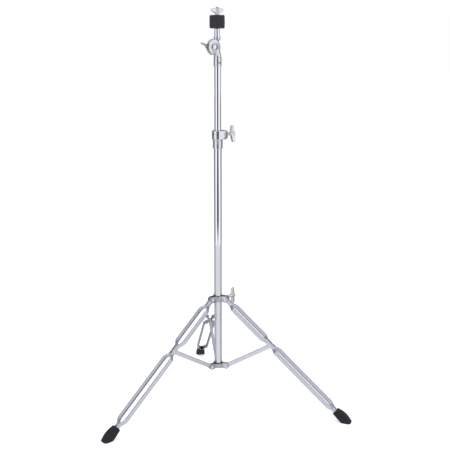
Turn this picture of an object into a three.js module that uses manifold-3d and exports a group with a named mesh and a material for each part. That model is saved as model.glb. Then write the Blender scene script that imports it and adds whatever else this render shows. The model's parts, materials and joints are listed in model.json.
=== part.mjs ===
// Cymbal stand: a double-braced folding tripod, a height clamp, a toothed tilter and a felted cymbal seat.
// Millimetres, +Z up, standing on z = 0. The rear leg points along +Y. Azimuths run clockwise from +Y,
// seen from above, and facing() turns them into a group's rotation.
import * as THREE from 'three';
import { mergeVertices } from 'three/addons/utils/BufferGeometryUtils.js';
import Module from 'manifold-3d';

const wasm = await Module();
wasm.setup();

// Shared fits and facets
const gap = 0.3; // running gap between neighbouring pieces
const overrun = 2; // how far a cut runs past the material
const tubeSides = 30;
const bossSides = 18;
const rivetSides = 12;
const holeSides = 8;
const arcSteps = 4;
const degree = Math.PI / 180;

// Tubes
const baseTubeR = 11.1;
const baseTubeWall = 1.1;
const baseTubeLength = 677;
const upperTubeR = 9.525;
const upperTubeWall = 1.2;
const upperTubeLength = 566;
const upperTubeExposed = 175.5; // bare length between the clamp and the tilter in the position shown
const plugBelow = 5;
const plugInside = 10;

// Legs: two pressed channels each, spread apart between the closed stretches at the ends and the knee
const legCount = 3;
const legAngle = 48.39 * degree; // from the vertical
const legLength = 488.9; // leg pivot to the floor
const legPivotR = 23.7;
const legEndRound = 6.5;
const legFloorClearance = 19; // end of the channels to the floor, along the leg
const channelDepth = 12.4;
const channelFlange = 4.2;
const channelWall = 1.3;
const channelCorner = 0.9;
const channelBend = 4; // half length of the softened bend at each kink
const legClosedHalf = 5.6; // centre plane to the outer face where the two channels meet
const legOpenHalf = 17.8; // the same where they run apart
const topClosedLength = 24.5;
const topFlareLength = 12.7;
const kneeAlong = 186.8; // leg pivot to knee pivot
const kneeClosedAbove = 18.5;
const kneeFlareAbove = 13.5;
const kneeClosedBelow = 11.8;
const kneeFlareBelow = 11;
const footClosedLength = 34;
const footFlareLength = 15;

// Braces: one channel each, from the bottom bracket up to the knee
const bracketBelowKnee = 81.76; // brace's lower pivot below the knee
const bracePivotR = 26.3;
const braceDepth = 12.6;
const braceHalf = 3.5;
const braceWall = 1.2;

// Pressed plates of the leg collar and the bottom bracket, and the nylon bushes inside them
const plateWall = 2;
const collarEarR = 9.2;
const collarBandHalf = 8.4;
const bracketEarR = 8.6;
const bracketBandHalf = 6.8;
const bushWall = 1.6;
const bushKeyProud = 1.4; // a bush's keys beyond the plates' outer face, between the ears
const rivetR = 2.8;
const rivetHeadR = 4.9;
const rivetHeadHeight = 1.9;
const kneeRivetHeadR = 4.2;
const kneeRivetHeadHeight = 1.5;
const footRivetR = 2;
const footRivetHeadR = 3.4;
const footRivetHeadHeight = 1.1;

// Rubber feet
const footTopHalfWidth = 9.6;
const footTopHalfDepth = 10.2;
const footSoleHalfWidth = 14.2;
const footSoleHalfDepth = 10; // square to the leg, before the sole's slant
const footBulge = 0.6; // of the flanks
const footRidgeBulge = 6.2; // of the outer side
const footGrip = 25; // how far the leg reaches into the foot
const footSoleRound = 1.6;
const footRings = 6;
// Half outline of the foot from its outer side to its inner one, as shares of its half width and half depth
const footOutlineShares = [
  [0.25, 1], [0.7, 0.94], [0.93, 0.74], [1, 0.35], [1, -0.35], [0.93, -0.74], [0.7, -0.94], [0.25, -1],
];

// Height clamp
const clampBandR = 14;
const clampBandLength = 24.8;
const clampBodyR = 16.5;
const clampBodyHeight = 25.4;
const clampBoltRise = 14.8;
const clampNoseR = 8.4;
const clampNoseReach = 28.9;
const clampNoseTopDrop = 6;
const clampNoseTopSetback = 5;
const clampNoseUnderRise = 8.5;
const clampNoseUnderSetback = 8;
const clampBevel = 1.6;
const clampBushR = 12;
const clampBushLip = 0.8;
const clampBushLipR = 11.3;
const grubR = 2.2;
const grubLength = 3.2;
const grubSocketR = 1.2;
const grubSocketDepth = 1.6;

// Wing bolts of the clamp and the leg collar
const boltR = 4;
const hubR = 5;
const hubNeckR = 4.3;
const hubLength = 19.5;
const hubDome = 1.2;
const wingSpanHalf = 24.6;
const wingTipR = 6;
const wingRootLength = 16;
const wingThickness = 4.4;
const wingTipSetback = 7.6; // hub's outer end back to the middle of a wing's tip
const clampWingReach = 50.3; // stand axis to the outer end of the hub
const collarWingReach = 63.4;
const collarBoltDrop = 2.4; // below the leg pivots
const collarNutR = 7.6;
const collarNutLength = 12.2;

// Tilter
const pivotOffset = 15.4; // tilt axis beside the stand axis
const pivotRise = 51.4; // tilt axis above the foot of the socket
const discR = 20.9;
const discThickness = 5.2;
const discEdge = 1;
const toothHeight = 0.8;
const toothInnerR = 12.6;
const toothOuterR = 19.8;
const toothCount = 20;
const socketR = 11.1;
const socketHeight = 22.6;
const beadR = 11.8;
const beadHeight = 2.6;
const neckHeight = 40;
const neckLean = 9; // how far the neck leans from the stand axis towards the tilt axis
const neckForward = 7.6; // how far it leans in front of the stand axis
// Stations up the neck: shares of its height, lean, forward reach and, for the two half axes, socket radius
const neckShares = [
  [0, 0, 0, 1, 1], [0.12, 0.08, 0.07, 0.98, 0.97], [0.24, 0.25, 0.23, 0.96, 0.86],
  [0.36, 0.46, 0.49, 0.92, 0.68], [0.48, 0.64, 0.74, 0.86, 0.5], [0.62, 0.76, 0.8, 0.76, 0.42],
  [0.8, 0.84, 0.75, 0.6, 0.38], [1, 0.9, 0.55, 0.42, 0.3],
];
const bossRingR = 10.8;
const bossRingRise = 4.6;
const bossRecess = 3.6;
const boltHeadR = 6.9;
const boltHeadHeight = 3.6;
const springR = 9;
const springWall = 0.9;
const springRecess = 1.9;
const rearBossR = 10;
const rearBossRise = 3;
const setScrewRise = 9.2; // above the foot of the socket
const setScrewLength = 2.6;
const armCollarR = 9.9;
const armCollarHeight = 5.8;
const armCollarEdge = 1.1;
const tilterNutBaseR = 7;
const tilterNutR = 5.4;
const tilterNutHeight = 19;
const tilterWingSpanHalf = 25.8;
const tilterWingFoot = 5; // nut's base to the wings
const tilterWingTipSetback = 5;
const nutDome = 1.6; // rounding at the end of every wing nut

// Cymbal arm, felts and top wing nut
const armR = 7.95;
const armSeatDepth = 4.2;
const armLength = 25.2;
const armOffset = 1.5; // arm's axis beside the stand's axis, towards the tilt axis
const armEdge = 0.8;
const rodR = 4;
const rodSocketDepth = 14;
const rodProud = 57.2; // rod above the arm's shoulder
const rodTipChamfer = 1;
const sleeveWall = 1.6;
const sleeveLength = 32;
const feltR = 20.6;
const feltThickness = 17.6;
const feltEdge = 3.2;
const feltMeetingEdge = 0.9; // rounding where the two felts meet
const feltSides = 28;
const topNutBaseR = 6.6;
const topNutR = 5.3;
const topNutHeight = 17.1;
const topWingSpanHalf = 19;
const topWingTipR = 4.3;
const topWingThickness = 4;
const topWingFoot = 1.8;

// Azimuths and turns read from the photograph
const clampAzimuth = 84.6 * degree;
const clampGrubAzimuth = 238 * degree;
const clampWingTurn = 69 * degree; // of the wings about their bolt, from level
const collarWingAzimuth = 60 * degree;
const collarWingTurn = 87 * degree;
const tilterTurn = 33.4 * degree; // turn of the tilter's frame, whose -Y faces the disc's front
const tilterWingTurn = 27 * degree;
const setScrewAzimuth = 155.6 * degree;
const topWingAzimuth = 249.8 * degree;

// Places worked out from the dimensions above
const legPivotZ = legLength * Math.cos(legAngle);
const kneeR = legPivotR + kneeAlong * Math.sin(legAngle);
const kneeZ = legPivotZ - kneeAlong * Math.cos(legAngle);
const braceAngle = Math.atan2(kneeR - bracePivotR, bracketBelowKnee);
const braceLength = Math.hypot(kneeR - bracePivotR, bracketBelowKnee);
const bracePivotZ = kneeZ - bracketBelowKnee;
const baseTubeZ = bracePivotZ - bracketEarR;
const baseTubeTopZ = baseTubeZ + baseTubeLength;
const clampTopZ = baseTubeTopZ + clampBodyHeight;
const socketZ = clampTopZ + upperTubeExposed;
const pivotZ = socketZ + pivotRise;
const mateY = gap + toothHeight; // disc faces behind the teeth, either side of the tilter's middle plane
const armCollarZ = pivotZ + discR + 2 * gap;
const armZ = armCollarZ + armCollarHeight - armSeatDepth;
const armTopZ = armZ + armLength;
const upperFeltZ = armTopZ + 2 * gap + feltThickness;
const topNutZ = upperFeltZ + feltThickness + gap;
const bushOuterR = baseTubeR + gap + bushWall;
const plateInnerR = bushOuterR + gap;
const plateOuterR = plateInnerR + plateWall;
const sector = 2 * Math.PI / legCount;

// Finishes
const finishes = {
  chrome: { color: 0xd9dce4, roughness: 0.14, metalness: 1 },
  satinChrome: { color: 0xc3c6d0, roughness: 0.34, metalness: 1 },
  castChrome: { color: 0xcfd2db, roughness: 0.24, metalness: 1 },
  nylon: { color: 0x1b1b1e, roughness: 0.6, metalness: 0 },
  rubber: { color: 0x202126, roughness: 0.8, metalness: 0 },
  felt: { color: 0x2b2b31, roughness: 0.98, metalness: 0 },
  steel: { color: 0x55565c, roughness: 0.45, metalness: 1 },
};

// Turns a closed geometry into a solid that faces outwards
function solidOf(geometry) {
  const bare = geometry.clone();
  for (const extra of ['normal', 'uv']) {
    if (bare.getAttribute(extra)) bare.deleteAttribute(extra);
  }
  const welded = mergeVertices(bare);
  const points = welded.getAttribute('position').array;
  const corners = welded.index.array;
  const faces = [];
  let volume = 0;
  const [a, b, c] = [new THREE.Vector3(), new THREE.Vector3(), new THREE.Vector3()];
  for (let i = 0; i < corners.length; i += 3) {
    const [p, q, r] = corners.slice(i, i + 3);
    if (p === q || q === r || r === p) continue;
    faces.push([p, q, r]);
    a.fromArray(points, 3 * p);
    b.fromArray(points, 3 * q);
    c.fromArray(points, 3 * r);
    volume += a.dot(b.cross(c));
  }
  const outward = volume > 0 ? faces : faces.map(([p, q, r]) => [p, r, q]);
  return new wasm.Manifold(new wasm.Mesh({
    numProp: 3,
    vertProperties: new Float32Array(points),
    triVerts: new Uint32Array(outward.flat()),
  }));
}

// Joins adds onto a base, takes cuts away and keeps what lies inside every one of keeps
function carve(base, { adds = [], cuts = [], keeps = [] } = {}) {
  let solid = solidOf(base);
  for (const add of adds) solid = solid.add(solidOf(add));
  for (const cut of cuts) solid = solid.subtract(solidOf(cut));
  for (const keep of keeps) solid = solid.intersect(solidOf(keep));
  const mesh = solid.getMesh();
  const geometry = new THREE.BufferGeometry();
  geometry.setAttribute('position', new THREE.BufferAttribute(mesh.vertProperties, 3));
  geometry.setIndex(new THREE.BufferAttribute(mesh.triVerts, 1));
  return geometry;
}

function piece(name, finish, base, changes) {
  const geometry = carve(base, changes);
  geometry.computeVertexNormals();
  const material = new THREE.MeshStandardMaterial({ ...finishes[finish], flatShading: true });
  const mesh = new THREE.Mesh(geometry, material);
  mesh.name = name;
  return mesh;
}

// Basic shapes; turned ones stand along Z
function turned(profile, sides = tubeSides) {
  const points = profile.map(([r, z]) => new THREE.Vector2(r, z));
  return new THREE.LatheGeometry(points, sides).rotateX(Math.PI / 2);
}

function pin(radius, low, high, sides = rivetSides) {
  return turned([[0, low], [radius, low], [radius, high], [0, high]], sides);
}

function bore(radius, low, high) {
  return pin(radius / Math.cos(Math.PI / holeSides), low, high, holeSides);
}

function pipe(inner, outer, low, high, sides = tubeSides) {
  return turned([[inner, low], [outer, low], [outer, high], [inner, high], [inner, low]], sides);
}

function block(x0, x1, y0, y1, z0, z1) {
  const box = new THREE.BoxGeometry(x1 - x0, y1 - y0, z1 - z0);
  return box.translate((x0 + x1) / 2, (y0 + y1) / 2, (z0 + z1) / 2);
}

// An outline in XY, raised along Z
function slab(shape, low, high, bevel = 0, steps = arcSteps) {
  const options = { depth: high - low - 2 * bevel, bevelEnabled: bevel > 0, curveSegments: steps };
  if (bevel > 0) {
    options.bevelSize = bevel;
    options.bevelOffset = -bevel;
    options.bevelThickness = bevel;
    options.bevelSegments = 1;
  }
  return new THREE.ExtrudeGeometry(shape, options).translate(0, 0, low + bevel);
}

// Turns a slab so that its outline lies in YZ
function side(geometry) {
  return geometry.rotateX(Math.PI / 2).rotateZ(Math.PI / 2);
}

function alongX(geometry) {
  return geometry.rotateY(Math.PI / 2);
}

function alongY(geometry) {
  return geometry.rotateX(-Math.PI / 2);
}

function facing(azimuth, ...children) {
  const group = new THREE.Group();
  group.rotation.z = -azimuth;
  group.add(...children);
  return group;
}

function at(object, x, y, z) {
  object.position.set(x, y, z);
  return object;
}

// Triangles over one flat ring of points, found in the ring's own plane
function capOf(ring) {
  const normal = new THREE.Vector3();
  ring.forEach((p, i) => normal.add(p.clone().cross(ring[(i + 1) % ring.length])));
  const level = new THREE.Quaternion().setFromUnitVectors(normal.normalize(), new THREE.Vector3(0, 0, 1));
  const flat = ring.map((p) => p.clone().applyQuaternion(level));
  return THREE.ShapeUtils.triangulateShape(flat.map((p) => new THREE.Vector2(p.x, p.y)), []);
}

// Closed body through rings of points; a looped one joins its last ring to its first, others are capped
function skin(rings, looped = false) {
  const count = rings[0].length;
  const faces = [];
  const steps = looped ? rings.length : rings.length - 1;
  for (let i = 0; i < steps; i += 1) {
    const here = i * count;
    const next = ((i + 1) % rings.length) * count;
    for (let j = 0; j < count; j += 1) {
      const k = (j + 1) % count;
      faces.push(here + j, here + k, next + k, here + j, next + k, next + j);
    }
  }
  if (!looped) {
    const last = (rings.length - 1) * count;
    for (const [p, q, r] of capOf(rings[0])) faces.push(p, r, q);
    for (const [p, q, r] of capOf(rings[rings.length - 1])) faces.push(last + p, last + q, last + r);
  }
  const geometry = new THREE.BufferGeometry();
  const flat = rings.flat().flatMap((p) => [p.x, p.y, p.z]);
  geometry.setAttribute('position', new THREE.Float32BufferAttribute(flat, 3));
  geometry.setIndex(faces);
  return geometry;
}

function azimuthOf(number) {
  return sector * (number - 1);
}

// A rivet along X whose walls end at half on both sides
function rivet(name, half, radius, headR, headHeight) {
  const seat = half + gap;
  const crown = seat + headHeight;
  const shoulder = seat + headHeight / 3;
  return piece(name, 'chrome', alongX(turned([
    [0, -crown], [headR / 2, -crown], [headR, -shoulder], [headR, -seat], [radius, -seat],
    [radius, seat], [headR, seat], [headR, shoulder], [headR / 2, crown], [0, crown],
  ], rivetSides)));
}

// Pressed plates: each wraps a third of the bush and holds one cheek of the leg or brace at either end
function wrapPlate(name, { half, pivotR, earR, bandHalf }, boltHoleR) {
  const cheek = half + gap;
  const outerCheek = cheek + plateWall;
  const bend = Math.asin((cheek + outerCheek) / (plateInnerR + plateOuterR));
  const start = Math.PI / 2 - bend;
  const end = Math.PI / 2 - sector + bend;
  const band = new THREE.Shape();
  band.absarc(0, 0, plateOuterR, start, end, true);
  band.absarc(0, 0, plateInnerR, end, start, false);
  const ear = () => {
    const foot = Math.sqrt(plateInnerR ** 2 - cheek ** 2);
    const tip = alongX(pin(earR, cheek, outerCheek, bossSides)).translate(0, pivotR, 0);
    const hole = alongX(bore(rivetR + gap, cheek - overrun, outerCheek + overrun)).translate(0, pivotR, 0);
    const rise = new THREE.Shape();
    rise.moveTo(foot, -bandHalf);
    rise.lineTo(pivotR, -earR);
    rise.lineTo(pivotR, earR);
    rise.lineTo(foot, bandHalf);
    return carve(side(slab(rise, cheek, outerCheek)), { adds: [tip], cuts: [hole] });
  };
  const cuts = [];
  if (boltHoleR > 0) {
    const boltHole = alongY(bore(boltHoleR, 0, plateOuterR + overrun)).rotateZ(-sector / 2);
    cuts.push(boltHole.translate(0, 0, -collarBoltDrop));
  }
  const farEar = carve(ear().scale(-1, 1, 1)).rotateZ(-sector);
  return piece(name, 'satinChrome', slab(band, -bandHalf, bandHalf), { adds: [ear(), farEar], cuts });
}

// A bush: a ring inside the plates, with a key in the mouth of each pair of ears that keeps it from turning
function bush(name, { half, bandHalf }, boltHoleR) {
  const inner = baseTubeR + gap;
  const cuts = [];
  if (boltHoleR > 0) {
    const boltHole = alongY(bore(boltHoleR, 0, bushOuterR + overrun)).rotateZ(-collarWingAzimuth);
    cuts.push(boltHole.translate(0, 0, -collarBoltDrop));
  }
  const keyFoot = inner + bushWall / 2;
  const keyTip = plateOuterR + bushKeyProud;
  const keyAt = (number) => {
    return block(-half, half, keyFoot, keyTip, -bandHalf, bandHalf).rotateZ(-azimuthOf(number));
  };
  return piece(name, 'nylon', turned([
    [inner, -bandHalf], [bushOuterR, -bandHalf], [bushOuterR, bandHalf], [inner, bandHalf],
    [inner, -bandHalf],
  ]), { adds: Array.from({ length: legCount }, (_, i) => keyAt(i + 1)), cuts });
}

// Three plates, their bush and three rivets around the tube at one height
function plateSet(prefix, z, sizes, boltHoleR) {
  const group = new THREE.Group();
  for (let number = 1; number <= legCount; number += 1) {
    const holeR = number === 1 ? boltHoleR : 0;
    const plate = wrapPlate(`${prefix}_plate_${number}`, sizes, holeR);
    const outer = sizes.half + gap + plateWall;
    const pivotRivet = rivet(`${prefix}_rivet_${number}`, outer, rivetR, rivetHeadR, rivetHeadHeight);
    group.add(facing(azimuthOf(number), plate, at(pivotRivet, 0, sizes.pivotR, 0)));
  }
  group.add(bush(`${prefix}_bush`, sizes, boltHoleR));
  return at(group, 0, 0, z);
}

// Two wings about an axis along Z, spread along X
function wings({ spanHalf, tipR, low, high, tipZ, thickness }) {
  const tipX = spanHalf - tipR;
  const shape = new THREE.Shape();
  shape.moveTo(0, low);
  shape.quadraticCurveTo(tipX / 2, (2 * low + tipZ - tipR) / 3, tipX, tipZ - tipR);
  shape.absarc(tipX, tipZ, tipR, -Math.PI / 2, Math.PI / 2, false);
  shape.quadraticCurveTo(tipX / 2, (high + tipZ + tipR) / 2, 0, high);
  const blade = () => slab(shape, -thickness / 2, thickness / 2, thickness / 4, 4).rotateX(Math.PI / 2);
  return [blade(), blade().rotateZ(Math.PI)];
}

// A wing bolt along +Y, from its tip to its hub's outer end, both measured from the stand's axis
function wingBolt(name, tip, reach, turn) {
  const neck = reach - hubLength;
  const mesh = piece(name, 'castChrome', turned([
    [0, tip], [boltR, tip], [boltR, neck], [hubNeckR, neck + gap], [hubR, neck + hubLength / 4],
    [hubR, reach - hubDome], [hubR - hubDome, reach], [0, reach],
  ], rivetSides), {
    adds: wings({
      spanHalf: wingSpanHalf,
      tipR: wingTipR,
      low: reach - wingRootLength,
      high: reach - hubDome,
      tipZ: reach - wingTipSetback,
      thickness: wingThickness,
    }),
  });
  mesh.rotation.x = -Math.PI / 2;
  const turnedAbout = new THREE.Group();
  turnedAbout.rotation.y = turn;
  turnedAbout.add(mesh);
  return turnedAbout;
}

// A set screw along +Y with a hexagon socket in its outer end
function grubScrew(name, low, length) {
  const high = low + length;
  const socket = pin(grubSocketR, high - grubSocketDepth, high + overrun, 6);
  return piece(name, 'steel', alongY(pin(grubR, low, high)), { cuts: [alongY(socket)] });
}

// Legs. A channel runs along -Z from the leg pivot, on the +X side of the leg's centre plane.
const legEnd = legLength - legFloorClearance;
const kneeSlotTop = kneeAlong - kneeClosedAbove - kneeFlareAbove;
const kneeSlotFoot = kneeAlong + kneeClosedBelow + kneeFlareBelow;
const legKinks = [
  [topClosedLength, legClosedHalf],
  [topClosedLength + topFlareLength, legOpenHalf],
  [kneeSlotTop, legOpenHalf],
  [kneeAlong - kneeClosedAbove, legClosedHalf],
  [kneeAlong + kneeClosedBelow, legClosedHalf],
  [kneeSlotFoot, legOpenHalf],
  [legEnd - footClosedLength - footFlareLength, legOpenHalf],
  [legEnd - footClosedLength, legClosedHalf],
];

function outerFaceAt(along) {
  const next = legKinks.findIndex(([s]) => s >= along);
  if (next <= 0) return legClosedHalf;
  const [s0, half0] = legKinks[next - 1];
  const [s1, half1] = legKinks[next];
  return THREE.MathUtils.mapLinear(along, s0, s1, half0, half1);
}

function legStations() {
  const stations = [[-legEndRound - overrun, legClosedHalf]];
  for (const [s] of legKinks) {
    for (const along of [s - channelBend, s + channelBend]) stations.push([along, outerFaceAt(along)]);
  }
  stations.push([legEnd, legClosedHalf]);
  return stations;
}

function channelSection(along, face) {
  const deep = channelDepth / 2;
  const inside = deep - channelWall;
  return [
    [face - channelFlange, -deep], [face - channelCorner, -deep], [face, channelCorner - deep],
    [face, deep - channelCorner], [face - channelCorner, deep], [face - channelFlange, deep],
    [face - channelFlange, inside], [face - channelWall, inside],
    [face - channelWall, -inside], [face - channelFlange, -inside],
  ].map(([x, y]) => new THREE.Vector3(x, y, -along));
}

function legChannel(name, onFarSide) {
  const wide = legOpenHalf + overrun;
  const outline = new THREE.Shape();
  outline.moveTo(-channelDepth, 0);
  outline.absarc(0, 0, legEndRound, Math.PI, 0, true);
  outline.lineTo(channelDepth, 0);
  outline.lineTo(channelDepth, -legLength);
  outline.lineTo(-channelDepth, -legLength);
  const slotHalf = braceHalf + gap;
  const hole = (radius, along) => alongX(bore(radius, 0, wide)).translate(0, 0, -along);
  const geometry = carve(skin(legStations().map(([s, face]) => channelSection(s, face))), {
    cuts: [
      block(-slotHalf, slotHalf, -channelDepth, channelDepth, -kneeSlotFoot, -kneeSlotTop),
      hole(rivetR + gap, 0),
      hole(rivetR + gap, kneeAlong),
      hole(footRivetR + gap, legEnd - footGrip / 2),
    ],
    keeps: [side(slab(outline, -wide, wide))],
  });
  return piece(name, 'satinChrome', onFarSide ? geometry.scale(-1, 1, 1) : geometry);
}

// The knee's pivot is open: each half rivet fills its channel's wall and stops short of the brace
function kneeRivet(name, onFarSide) {
  const inner = braceHalf + gap;
  const seat = legClosedHalf + gap;
  const crown = seat + kneeRivetHeadHeight;
  const geometry = alongX(turned([
    [0, inner], [rivetR, inner], [rivetR, seat], [kneeRivetHeadR, seat],
    [kneeRivetHeadR, seat + kneeRivetHeadHeight / 3], [kneeRivetHeadR / 2, crown], [0, crown],
  ], rivetSides));
  return at(piece(name, 'chrome', onFarSide ? geometry.rotateZ(Math.PI) : geometry), 0, 0, -kneeAlong);
}

// Rubber foot, in its leg's upright frame: square to the leg at its mouth and flat on the floor
function rubberFoot(name) {
  const mouthAlong = legEnd - footGrip;
  const along = new THREE.Vector3(0, Math.sin(legAngle), -Math.cos(legAngle));
  const across = new THREE.Vector3(0, Math.cos(legAngle), Math.sin(legAngle));
  const outward = new THREE.Vector3(0, 1, 0);
  const pivot = new THREE.Vector3(0, legPivotR, legPivotZ);
  const ringAt = (k, inset) => {
    const centre = pivot.clone().addScaledVector(along, THREE.MathUtils.lerp(mouthAlong, legLength, k));
    const depthAxis = across.clone().lerp(outward, k).normalize();
    const halfWidth = THREE.MathUtils.lerp(footTopHalfWidth, footSoleHalfWidth, k) - inset;
    const squareDepth = THREE.MathUtils.lerp(footTopHalfDepth, footSoleHalfDepth, k) - inset;
    const halfDepth = squareDepth / depthAxis.dot(across);
    const swell = Math.sin(Math.PI * k);
    const half = (hand) => footOutlineShares.map(([wide, deep]) => {
      const out = deep * halfDepth + footRidgeBulge * swell * Math.max(0, deep);
      const sideways = hand * wide * (halfWidth + footBulge * swell);
      return centre.clone().addScaledVector(depthAxis, out).setX(sideways);
    });
    return [...half(1), ...half(-1).reverse()];
  };
  const rise = footSoleRound / Math.cos(legAngle) / (legLength - mouthAlong);
  const rings = Array.from({ length: footRings }, (_, i) => ringAt((1 - rise) * i / (footRings - 1), 0));
  rings.push(ringAt(1, footSoleRound / 2));
  const mouthHalf = legClosedHalf + footRivetHeadHeight + 2 * gap;
  const mouthDeep = channelDepth / 2 + gap;
  const mouthTop = footTopHalfWidth - mouthAlong;
  const mouth = block(-mouthHalf, mouthHalf, -mouthDeep, mouthDeep, -legEnd - gap, mouthTop);
  mouth.rotateX(legAngle).translate(0, legPivotR, legPivotZ);
  return piece(name, 'rubber', skin(rings), { cuts: [mouth] });
}

function leg(number) {
  const name = (part) => `leg_${number}_${part}`;
  const rivetName = name('foot_rivet');
  const footRivet = rivet(rivetName, legClosedHalf, footRivetR, footRivetHeadR, footRivetHeadHeight);
  const swung = new THREE.Group();
  swung.rotation.x = legAngle;
  swung.add(
    legChannel(name('channel_a'), false),
    legChannel(name('channel_b'), true),
    kneeRivet(name('knee_rivet_a'), false),
    kneeRivet(name('knee_rivet_b'), true),
    at(footRivet, 0, 0, footGrip / 2 - legEnd),
  );
  return facing(azimuthOf(number), at(swung, 0, legPivotR, legPivotZ), rubberFoot(name('rubber_foot')));
}

// Brace: a channel with round ends about its two pivots, its back facing inwards
function brace(number) {
  const round = braceDepth / 2;
  const outline = new THREE.Shape();
  outline.absarc(0, 0, round, Math.PI, 2 * Math.PI, false);
  outline.absarc(0, braceLength, round, 0, Math.PI, false);
  const inside = braceHalf - braceWall;
  const clear = round + overrun;
  const cheekHalf = braceHalf + overrun;
  const mesh = piece(`brace_${number}`, 'satinChrome', side(slab(outline, -braceHalf, braceHalf)), {
    cuts: [
      block(-inside, inside, braceWall - round, clear, -clear, braceLength + clear),
      alongX(bore(rivetR + gap, -cheekHalf, cheekHalf)),
      alongX(bore(rivetR + gap, -cheekHalf, cheekHalf)).translate(0, 0, braceLength),
    ],
  });
  mesh.rotation.x = -braceAngle;
  return facing(azimuthOf(number), at(mesh, 0, bracePivotR, bracePivotZ));
}

function legCollar() {
  const sizes = { half: legClosedHalf, pivotR: legPivotR, earR: collarEarR, bandHalf: collarBandHalf };
  const group = plateSet('collar', legPivotZ, sizes, boltR + gap);
  const nutStart = plateOuterR + gap;
  const nutEnd = nutStart + collarNutLength;
  const boltFrame = facing(
    collarWingAzimuth,
    piece('collar_wing_bolt_nut', 'satinChrome', alongY(pin(collarNutR, nutStart, nutEnd, 6)), {
      cuts: [alongY(bore(boltR + gap, 0, nutEnd + overrun))],
    }),
    wingBolt('collar_wing_bolt', baseTubeR + gap, collarWingReach, collarWingTurn),
  );
  group.add(at(boltFrame, 0, 0, -collarBoltDrop));
  return group;
}

function heightClamp() {
  const noseY = clampNoseReach - clampNoseR;
  const tangent = Math.asin((clampBodyR - clampNoseR) / noseY);
  const plan = new THREE.Shape();
  plan.absarc(0, 0, clampBodyR, Math.PI - tangent, 2 * Math.PI + tangent, false);
  plan.absarc(0, noseY, clampNoseR, tangent, Math.PI - tangent, false);
  const back = -clampBodyR - overrun;
  const flank = new THREE.Shape();
  flank.moveTo(back, 0);
  flank.lineTo(clampNoseReach - clampNoseUnderSetback, 0);
  flank.quadraticCurveTo(clampNoseReach, 0, clampNoseReach, clampNoseUnderRise);
  flank.lineTo(clampNoseReach, clampBodyHeight - clampNoseTopDrop);
  const noseTopY = clampNoseReach - clampNoseTopSetback;
  flank.quadraticCurveTo(clampNoseReach, clampBodyHeight, noseTopY, clampBodyHeight);
  flank.lineTo(back, clampBodyHeight);
  const head = carve(slab(plan, 0, clampBodyHeight, clampBevel, 2 * arcSteps), {
    keeps: [side(slab(flank, back, -back))],
  });
  const grubTurn = clampAzimuth - clampGrubAzimuth;
  const body = piece('clamp_body', 'castChrome', head, {
    adds: [turned([
      [0, -clampBandLength], [clampBandR - clampBevel, -clampBandLength],
      [clampBandR, clampBevel - clampBandLength], [clampBandR, clampBevel], [0, clampBevel],
    ])],
    cuts: [
      pin(baseTubeR + gap, -clampBandLength - overrun, gap, tubeSides),
      pin(clampBushR + gap, 0, clampBodyHeight + overrun, tubeSides),
      alongY(bore(boltR + gap, 0, clampNoseReach + overrun)).translate(0, 0, clampBoltRise),
      alongY(bore(grubR + gap, 0, clampBodyR + overrun)).rotateZ(grubTurn).translate(0, 0, clampBoltRise),
    ],
  });
  const inner = upperTubeR + gap;
  const lipZ = clampBodyHeight + clampBushLip;
  const nylon = piece('clamp_bush', 'nylon', turned([
    [inner, gap], [clampBushR, gap], [clampBushR, lipZ - clampBushLip], [clampBushLipR, lipZ - clampBushLip],
    [clampBushLipR, lipZ], [inner, lipZ], [inner, gap],
  ]), {
    cuts: [alongY(bore(boltR + gap, 0, clampBushR + overrun)).translate(0, 0, clampBoltRise)],
  });
  const bolt = wingBolt('clamp_wing_bolt', upperTubeR + gap, clampWingReach, clampWingTurn);
  const grub = facing(-grubTurn, grubScrew('clamp_grub_screw', clampBushR + gap, grubLength));
  const screws = [at(bolt, 0, 0, clampBoltRise), at(grub, 0, 0, clampBoltRise)];
  return at(facing(clampAzimuth, body, nylon, ...screws), 0, 0, baseTubeTopZ);
}

// Upper tube, and the nylon plug that guides its lower end inside the base tube
function upperTube() {
  const top = socketZ + socketHeight - beadHeight;
  const low = top - upperTubeLength;
  const plugR = upperTubeR - upperTubeWall - gap;
  const guideR = baseTubeR - baseTubeWall - gap;
  const group = new THREE.Group();
  group.add(
    piece('upper_tube', 'chrome', pipe(upperTubeR - upperTubeWall, upperTubeR, low, top)),
    piece('tube_guide_plug', 'nylon', turned([
      [0, low - plugBelow], [guideR, low - plugBelow], [guideR, low - gap],
      [plugR, low - gap], [plugR, low + plugInside], [0, low + plugInside],
    ], bossSides)),
  );
  return group;
}

// Tilter. Its frame stands on the stand's axis at the foot of the socket; the mating plane is y = 0.
function onTiltAxis(geometry) {
  return alongY(geometry).translate(-pivotOffset, 0, pivotRise);
}

// Radial teeth that rise from a disc's face; front ones point to +Y and rear ones to -Y
function teeth(facingRear) {
  const away = facingRear ? 1 : -1;
  const root = away * (mateY + toothHeight);
  const rings = Array.from({ length: 2 * toothCount }, (_, i) => {
    const turn = Math.PI * i / toothCount;
    const crest = away * (i % 2 ? gap : mateY);
    const corner = (r, z) => new THREE.Vector3(r * Math.cos(turn), r * Math.sin(turn), z);
    const inner = [corner(toothInnerR, crest), corner(toothInnerR, root)];
    return [...inner, corner(toothOuterR, root), corner(toothOuterR, crest)];
  });
  return skin(rings, true);
}

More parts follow.
